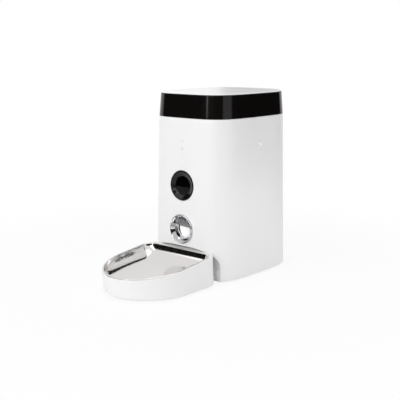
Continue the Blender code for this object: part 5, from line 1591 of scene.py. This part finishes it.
@dataclass(frozen=True)
class FoodBowl(SubAssembly):
    """The pressed steel bowl: steep under its flange and gently dished in the middle."""

    form: TrayForm = field(default_factory=TrayForm)
    margin: float = 0.5 * MM
    back: float = BOWL_BACK
    corner: float = BOWL_CORNER
    flange: float = 3.1 * MM
    gauge: float = 0.8 * MM
    lift: float = 1.1 * MM
    depth: float = 25.0 * MM
    brim: float = 1.1 * MM
    middle: float = -98.0 * MM
    floor_power: float = 2.7
    wall_power: float = 2.9
    wall_lean: float = 0.27
    last_share: float = 0.96
    dish_rings: int = 44
    crowding: float = 1.4

    def lowered(self, flat: np.ndarray, drop: float) -> np.ndarray:
        """Places an outline under the sloping plane of the rim.

        Args:
            flat: (x, y) rows.
            drop: How far it lies below the flange's top.

        Returns:
            Points of the ring.
        """
        return np.column_stack([flat, self.form.rim(flat[:, 1]) + self.lift - drop])

    def rim_outline(self, inset: float) -> np.ndarray:
        """Gives the outline of the flange, drawn in.

        Args:
            inset: How far it is drawn in from the flange's edge.

        Returns:
            (x, y) rows.
        """
        edge = self.margin + inset
        return self.form.outline(self.form.half_width - edge, self.form.nose - edge, self.corner - inset,
                                 self.back - inset)

    def dish(self) -> list:
        """Gives the rings of the walls and the floor, on one superellipse from the flange to the middle."""
        middle = np.array([0.0, self.middle])
        rings = []
        for share in np.linspace(0, 1, self.dish_rings)[1:]:
            angle = math.pi / 2 * self.last_share * share ** self.crowding
            left = math.cos(angle) ** (2 / self.floor_power)
            fall = (self.depth - self.brim) * math.sin(angle) ** (2 / self.wall_power)
            top = self.rim_outline(self.flange + self.wall_lean * fall)
            rings.append(self.lowered(middle + (top - middle) * left, self.brim + fall))
        return rings

    def build(self) -> None:
        """Makes the bowl."""
        edge = [self.lowered(self.rim_outline(self.gauge * (1 - math.cos(a))), self.gauge * (1 - math.sin(a)))
                for a in quarter(6)]
        sheet = edge[-1:]
        sheet += [self.lowered(self.rim_outline(self.flange - self.brim + self.brim * math.sin(a)),
                               self.brim * (1 - math.cos(a))) for a in np.linspace(0, math.radians(80), 7)]
        sheet += self.dish()
        under = far_side(sheet, self.gauge)
        rings = sheet[::-1] + edge[-2::-1] + [self.lowered(self.rim_outline(0.0), 1.3 * self.gauge)] + under[1:]
        Solid.loft(rings).piece("food_bowl", STEEL, "bowl", "steel_bowl")


@dataclass(frozen=True)
class Feet(SubAssembly):
    """The round rubber feet of the tower and the tray."""

    radius: float = 8.0 * MM
    height: float = 4.2 * MM
    tray_radius: float = 6.0 * MM
    tray_height: float = 2.4 * MM
    edge: float = 1.0 * MM
    front: float = 38.0 * MM
    back: float = 146.0 * MM
    side: float = 67.0 * MM
    tray_side: float = 38.0 * MM
    tray_y: float = -110.0 * MM

    def foot(self, radius: float, height: float) -> Solid:
        """Makes a foot.

        Args:
            radius: Its radius.
            height: Its height.

        Returns:
            The solid, standing on the floor.
        """
        section = rounded([(0.0, 0.5 * MM), (radius * 0.55, 0.5 * MM, 0.3 * MM), (radius * 0.62, 0.0, 0.3 * MM),
                           (radius, 0.0, self.edge), (radius, height), (0.0, height)], 4)
        return Solid.lathe(section, 72)

    def build(self) -> None:
        """Makes all six feet."""
        tree = on_rectangle("tower_feet", 2 * self.side, self.back - self.front)
        feet = tree.run(self.foot(self.radius, self.height))
        feet.moved(Matrix.Translation((0, (self.front + self.back) / 2, 0)))
        feet.piece("rubber_feet", RUBBER, "tower", *(f"foot_{number}" for number in range(1, 5)))
        for side in Side:
            foot = self.foot(self.tray_radius, self.tray_height)
            foot.moved(Matrix.Translation((side.value * self.tray_side, self.tray_y, 0)))
            name = side.name.lower()
            foot.piece(f"tray_rubber_foot_{name}", RUBBER, "tray", f"tray_foot_{name}")


@dataclass(frozen=True)
class CameraBoard(SubAssembly):
    """The round board behind the camera's window with its ring of infrared lamps."""

    height: float = CAMERA_HEIGHT
    radius: float = 18.0 * MM
    front: float = 15.0 * MM
    thickness: float = 1.6 * MM
    lamp_radius: float = 1.8 * MM
    lamp_ring: float = 13.0 * MM
    lamp_count: int = 6
    lamp_front: float = 7.2 * MM

    def build(self) -> None:
        """Makes the board with its lamps."""
        section = rounded([(0.0, self.front), (self.radius, self.front, 0.15 * MM),
                           (self.radius, self.front + self.thickness, 0.15 * MM),
                           (0.0, self.front + self.thickness)], 3)
        board = Solid.lathe(section, 96)
        dome = [(self.lamp_radius * math.sin(a), self.lamp_front + self.lamp_radius * (1 - math.cos(a)))
                for a in quarter(8)]
        middle = self.front + self.thickness / 2
        lamp = Solid.lathe(dome + [(self.lamp_radius, middle), (0.0, middle)], 28)
        lamps = on_ring("infrared_lamps", self.lamp_count, self.lamp_ring).run(lamp)
        seat = self.tower.front(self.height)
        board.join(lamps).moved(seat).piece("camera_circuit", MASK, "tower", "camera_board")


@dataclass(frozen=True)
class ReturnSprings(SubAssembly):
    """The coil springs that push the release buttons out."""

    radius: float = 3.6 * MM
    wire: float = 0.45 * MM
    turns: float = 5.0
    travel: float = 2.5 * MM

    def build(self) -> None:
        """Makes both springs, which the buttons squeeze."""
        for side in Side:
            name = side.name.lower()
            node = f"latch_spring_{name}"
            low, high = (Vector(corner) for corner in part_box(node))
            length = high.x - low.x
            inner = low.x if side is Side.RIGHT else high.x
            middle = (low + high) / 2
            seat = Matrix.Translation((inner, middle.y, middle.z)) @ Matrix.Rotation(side.value * math.pi / 2, 4, "Y")
            tree = coiled(f"{node}_coil", self.turns, self.radius, self.wire, length)
            coil = tree.run(Solid([(0, 0, 0)], [])).moved(seat)
            made = coil.piece(f"return_spring_{name}", BRIGHT, "tower", node)
            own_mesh(made)


class InnerParts:
    """Finishes of the CAD nodes that keep their own shape."""

    def dress(self) -> None:
        """Gives each shown CAD node the finish of its slot."""
        slots = {row["node"]: row["material_slot"] for row in frame["record"]["subparts"]}
        finishes = {finish.slot: finish for finish in FINISHES}
        LOG.info("finishing the parts that keep the shape of the frame")
        for name, node in frame["nodes"].items():
            if node.hide_render:
                continue
            material = finishes[slots[name]].material()
            for place in range(len(node.material_slots)):
                node.material_slots[place].material = material


# Studio


PURE_WHITE = opaque((1.0, 1.0, 1.0))
BLACK_CARD = (0.004, 0.0035, 0.003)
DARK_CARD = (0.03, 0.028, 0.026)


def stand(made: bpy.types.Object, place, aim, axis: str = "-Z") -> None:
    """Stands an object of the studio in its place and turns an axis of it to a point.

    Args:
        made: The object.
        place: Its middle.
        aim: The point.
        axis: The axis.
    """
    made.location = place
    made.rotation_euler = (Vector(aim) - Vector(place)).to_track_quat(axis, "Y").to_euler()


def sheet(name: str, half_x: float, half_y: float, material: bpy.types.Material) -> bpy.types.Object:
    """Makes a flat rectangle about the origin.

    Args:
        name: Its name.
        half_x: Half its width.
        half_y: Half its height.
        material: Its material.

    Returns:
        The object.
    """
    mesh = bpy.data.meshes.new(name)
    mesh.from_pydata([(-half_x, -half_y, 0), (half_x, -half_y, 0), (half_x, half_y, 0), (-half_x, half_y, 0)], [],
                     [(0, 1, 2, 3)])
    mesh.materials.append(material)
    return linked(name, mesh)


@dataclass(frozen=True)
class Lamp:
    """A soft rectangular lamp: its middle, what it points at, its width and height and its watts."""

    name: str
    place: tuple
    aim: tuple
    size: tuple
    power: float

    def build(self) -> None:
        """Makes the lamp."""
        data = bpy.data.lights.new(self.name, "AREA")
        data.shape = "RECTANGLE"
        data.size, data.size_y = self.size
        data.energy = self.power
        made = linked(self.name, data)
        made.visible_camera = False
        stand(made, self.place, self.aim)


@dataclass(frozen=True)
class Card:
    """A card that only reflections see: its middle, what it faces, its width and height and its colour."""

    name: str
    place: tuple
    aim: tuple
    size: tuple
    colour: tuple

    def build(self) -> None:
        """Makes the card."""
        graph = ShaderGraph(self.name)
        lighter = opaque(tuple(1.4 * channel for channel in self.colour))
        shade = graph.blend(graph.noise(graph.point(), 3.0), opaque(self.colour), lighter)
        material = graph.surface({"Base Color": shade, "Roughness": 1.0, "Specular IOR Level": 0.0})
        made = sheet(self.name, self.size[0] / 2, self.size[1] / 2, material)
        made.visible_camera = False
        made.visible_diffuse = False
        made.visible_shadow = False
        stand(made, self.place, self.aim, "Z")


LAMPS = (Lamp("key_lamp", (-0.9, -1.7, 1.1), (0, 0, 0.15), (1.4, 1.4), power=5.0),
         Lamp("top_lamp", (0.05, 0.0, 1.3), (0, 0, 0), (0.9, 0.9), power=5.0),
         Lamp("front_lamp", (0.2, -2.2, 0.9), (0, 0, 0.12), (1.6, 1.0), power=16.8),
         Lamp("low_lamp", (0.55, 0.25, 0.03), (0.085, 0.1, 0), (0.7, 0.05), power=0.5),
         Lamp("gap_lamp", (0.6, -0.5, 0.05), (0.085, -0.02, 0.03), (0.4, 0.06), power=0.16))
CARDS = (Card("front_flag", (-0.60, -0.74, 0.27), (0.0, -0.03, 0.27), (1.4, 0.54), BLACK_CARD),
         Card("rear_flag", (0.75, 0.86, 0.27), (0.08, 0.08, 0.27), (1.4, 0.54), BLACK_CARD),
         Card("corner_flag", (0.62, -0.80, 0.27), (0.05, -0.05, 0.27), (1.5, 0.54), DARK_CARD),
         Card("left_strip", (-0.26, 0.5, 1.1), (-0.26, 0.0, 1.1), (0.17, 2.2), BLACK_CARD))


@dataclass(frozen=True)
class Studio:
    """Camera, lamps, floor and surroundings."""

    camera_place: tuple = (0.8697, -0.9942, 0.3892)
    azimuth: float = 40.631
    elevation: float = 11.064
    lens: float = 71.38
    sensor: float = 36.0
    surroundings: float = 0.5
    spot_power: float = 60.0
    spot_angle: float = math.radians(1.5)
    spot_shift: tuple = (-0.1, 0.0, 0.12)
    spot_aim: tuple = (0.0, -0.026, 0.0855)
    floor_colour: tuple = (0.93, 0.93, 0.935)
    floor_reach: float = 2.6
    floor_drop: float = 0.2 * MM
    floor_share: float = 0.12
    floor_fade: tuple = (0.25, 0.75)

    def camera(self) -> None:
        """Places the camera."""
        azimuth, elevation = math.radians(self.azimuth), math.radians(self.elevation)
        back = Vector((math.sin(azimuth) * math.cos(elevation), -math.cos(azimuth) * math.cos(elevation),
                       math.sin(elevation)))
        right = Vector((math.cos(azimuth), math.sin(azimuth), 0))
        turn = Matrix((right, back.cross(right), back)).transposed()
        data = bpy.data.cameras.new("camera")
        data.lens = self.lens
        data.sensor_width = self.sensor
        data.clip_start = 0.01
        data.clip_end = 60.0
        made = linked("camera", data)
        made.matrix_world = Matrix.Translation(self.camera_place) @ turn.to_4x4()
        bpy.context.scene.camera = made

    def spot(self) -> None:
        """Adds the small spot lamp that lights the inside of the food outlet."""
        data = bpy.data.lights.new("outlet_spot", "SPOT")
        data.energy = self.spot_power
        data.spot_size = self.spot_angle
        data.spot_blend = 0.6
        data.shadow_soft_size = 0.01
        stand(linked("outlet_spot", data), Vector(self.camera_place) + Vector(self.spot_shift), self.spot_aim)

    def floor(self) -> None:
        """Lays the white floor, which shows a faint shadow and looks white to the camera and in reflections."""
        graph = ShaderGraph("floor_paper")
        shade = graph.blend(graph.noise(graph.point(), 2.0), opaque(self.floor_colour),
                            opaque(tuple(channel * 0.99 for channel in self.floor_colour)))
        paper = graph.node("ShaderNodeBsdfDiffuse", {"Color": shade})
        light = graph.node("ShaderNodeEmission", {"Color": PURE_WHITE, "Strength": 1.0})
        x, y, _ = graph.parts(graph.point())
        white = graph.band((x * x + y * y).root(), *self.floor_fade, 1.0 - self.floor_share, 1.0)
        mixed = graph.node("ShaderNodeMixShader", {"Fac": graph.looked_at() * white, 1: paper.outputs[0],
                                                   2: light.outputs[0]})
        graph.tree.links.new(mixed.outputs[0], graph.output.inputs["Surface"])
        made = sheet("floor", self.floor_reach, self.floor_reach, graph.material)
        made.location = (0, 0, -self.floor_drop)

    def world(self) -> None:
        """Makes the surroundings: white to the camera and grey to everything else."""
        world = bpy.data.worlds.new("studio")
        world.use_nodes = True
        bpy.context.scene.world = world
        tree = world.node_tree
        tree.nodes.clear()
        graph = Graph(tree)
        seen = graph.node("ShaderNodeBackground", {"Color": PURE_WHITE, "Strength": 1.0})
        around = graph.node("ShaderNodeBackground", {"Color": PURE_WHITE, "Strength": self.surroundings})
        mixed = graph.node("ShaderNodeMixShader", {"Fac": graph.looked_at(), 1: around.outputs[0],
                                                   2: seen.outputs[0]})
        graph.node("ShaderNodeOutputWorld", {"Surface": mixed.outputs[0]})

    def build(self) -> None:
        """Makes the studio."""
        self.camera()
        for item in (*LAMPS, *CARDS):
            item.build()
        self.spot()
        self.floor()
        self.world()
        bpy.context.scene.view_settings.view_transform = "Standard"


def main() -> None:
    """Builds the object and its studio."""
    logging.basicConfig(level=logging.INFO, format="%(name)s %(message)s")
    for part in (Housing(), Lid(), CameraUnit(), CameraBoard(), Outlet(), ReleaseButtons(), ReturnSprings(),
                 FoodTray(), FoodBowl(), Feet()):
        part.build()
    InnerParts().dress()
    Studio().build()


if __name__ == "__main__":
    main()
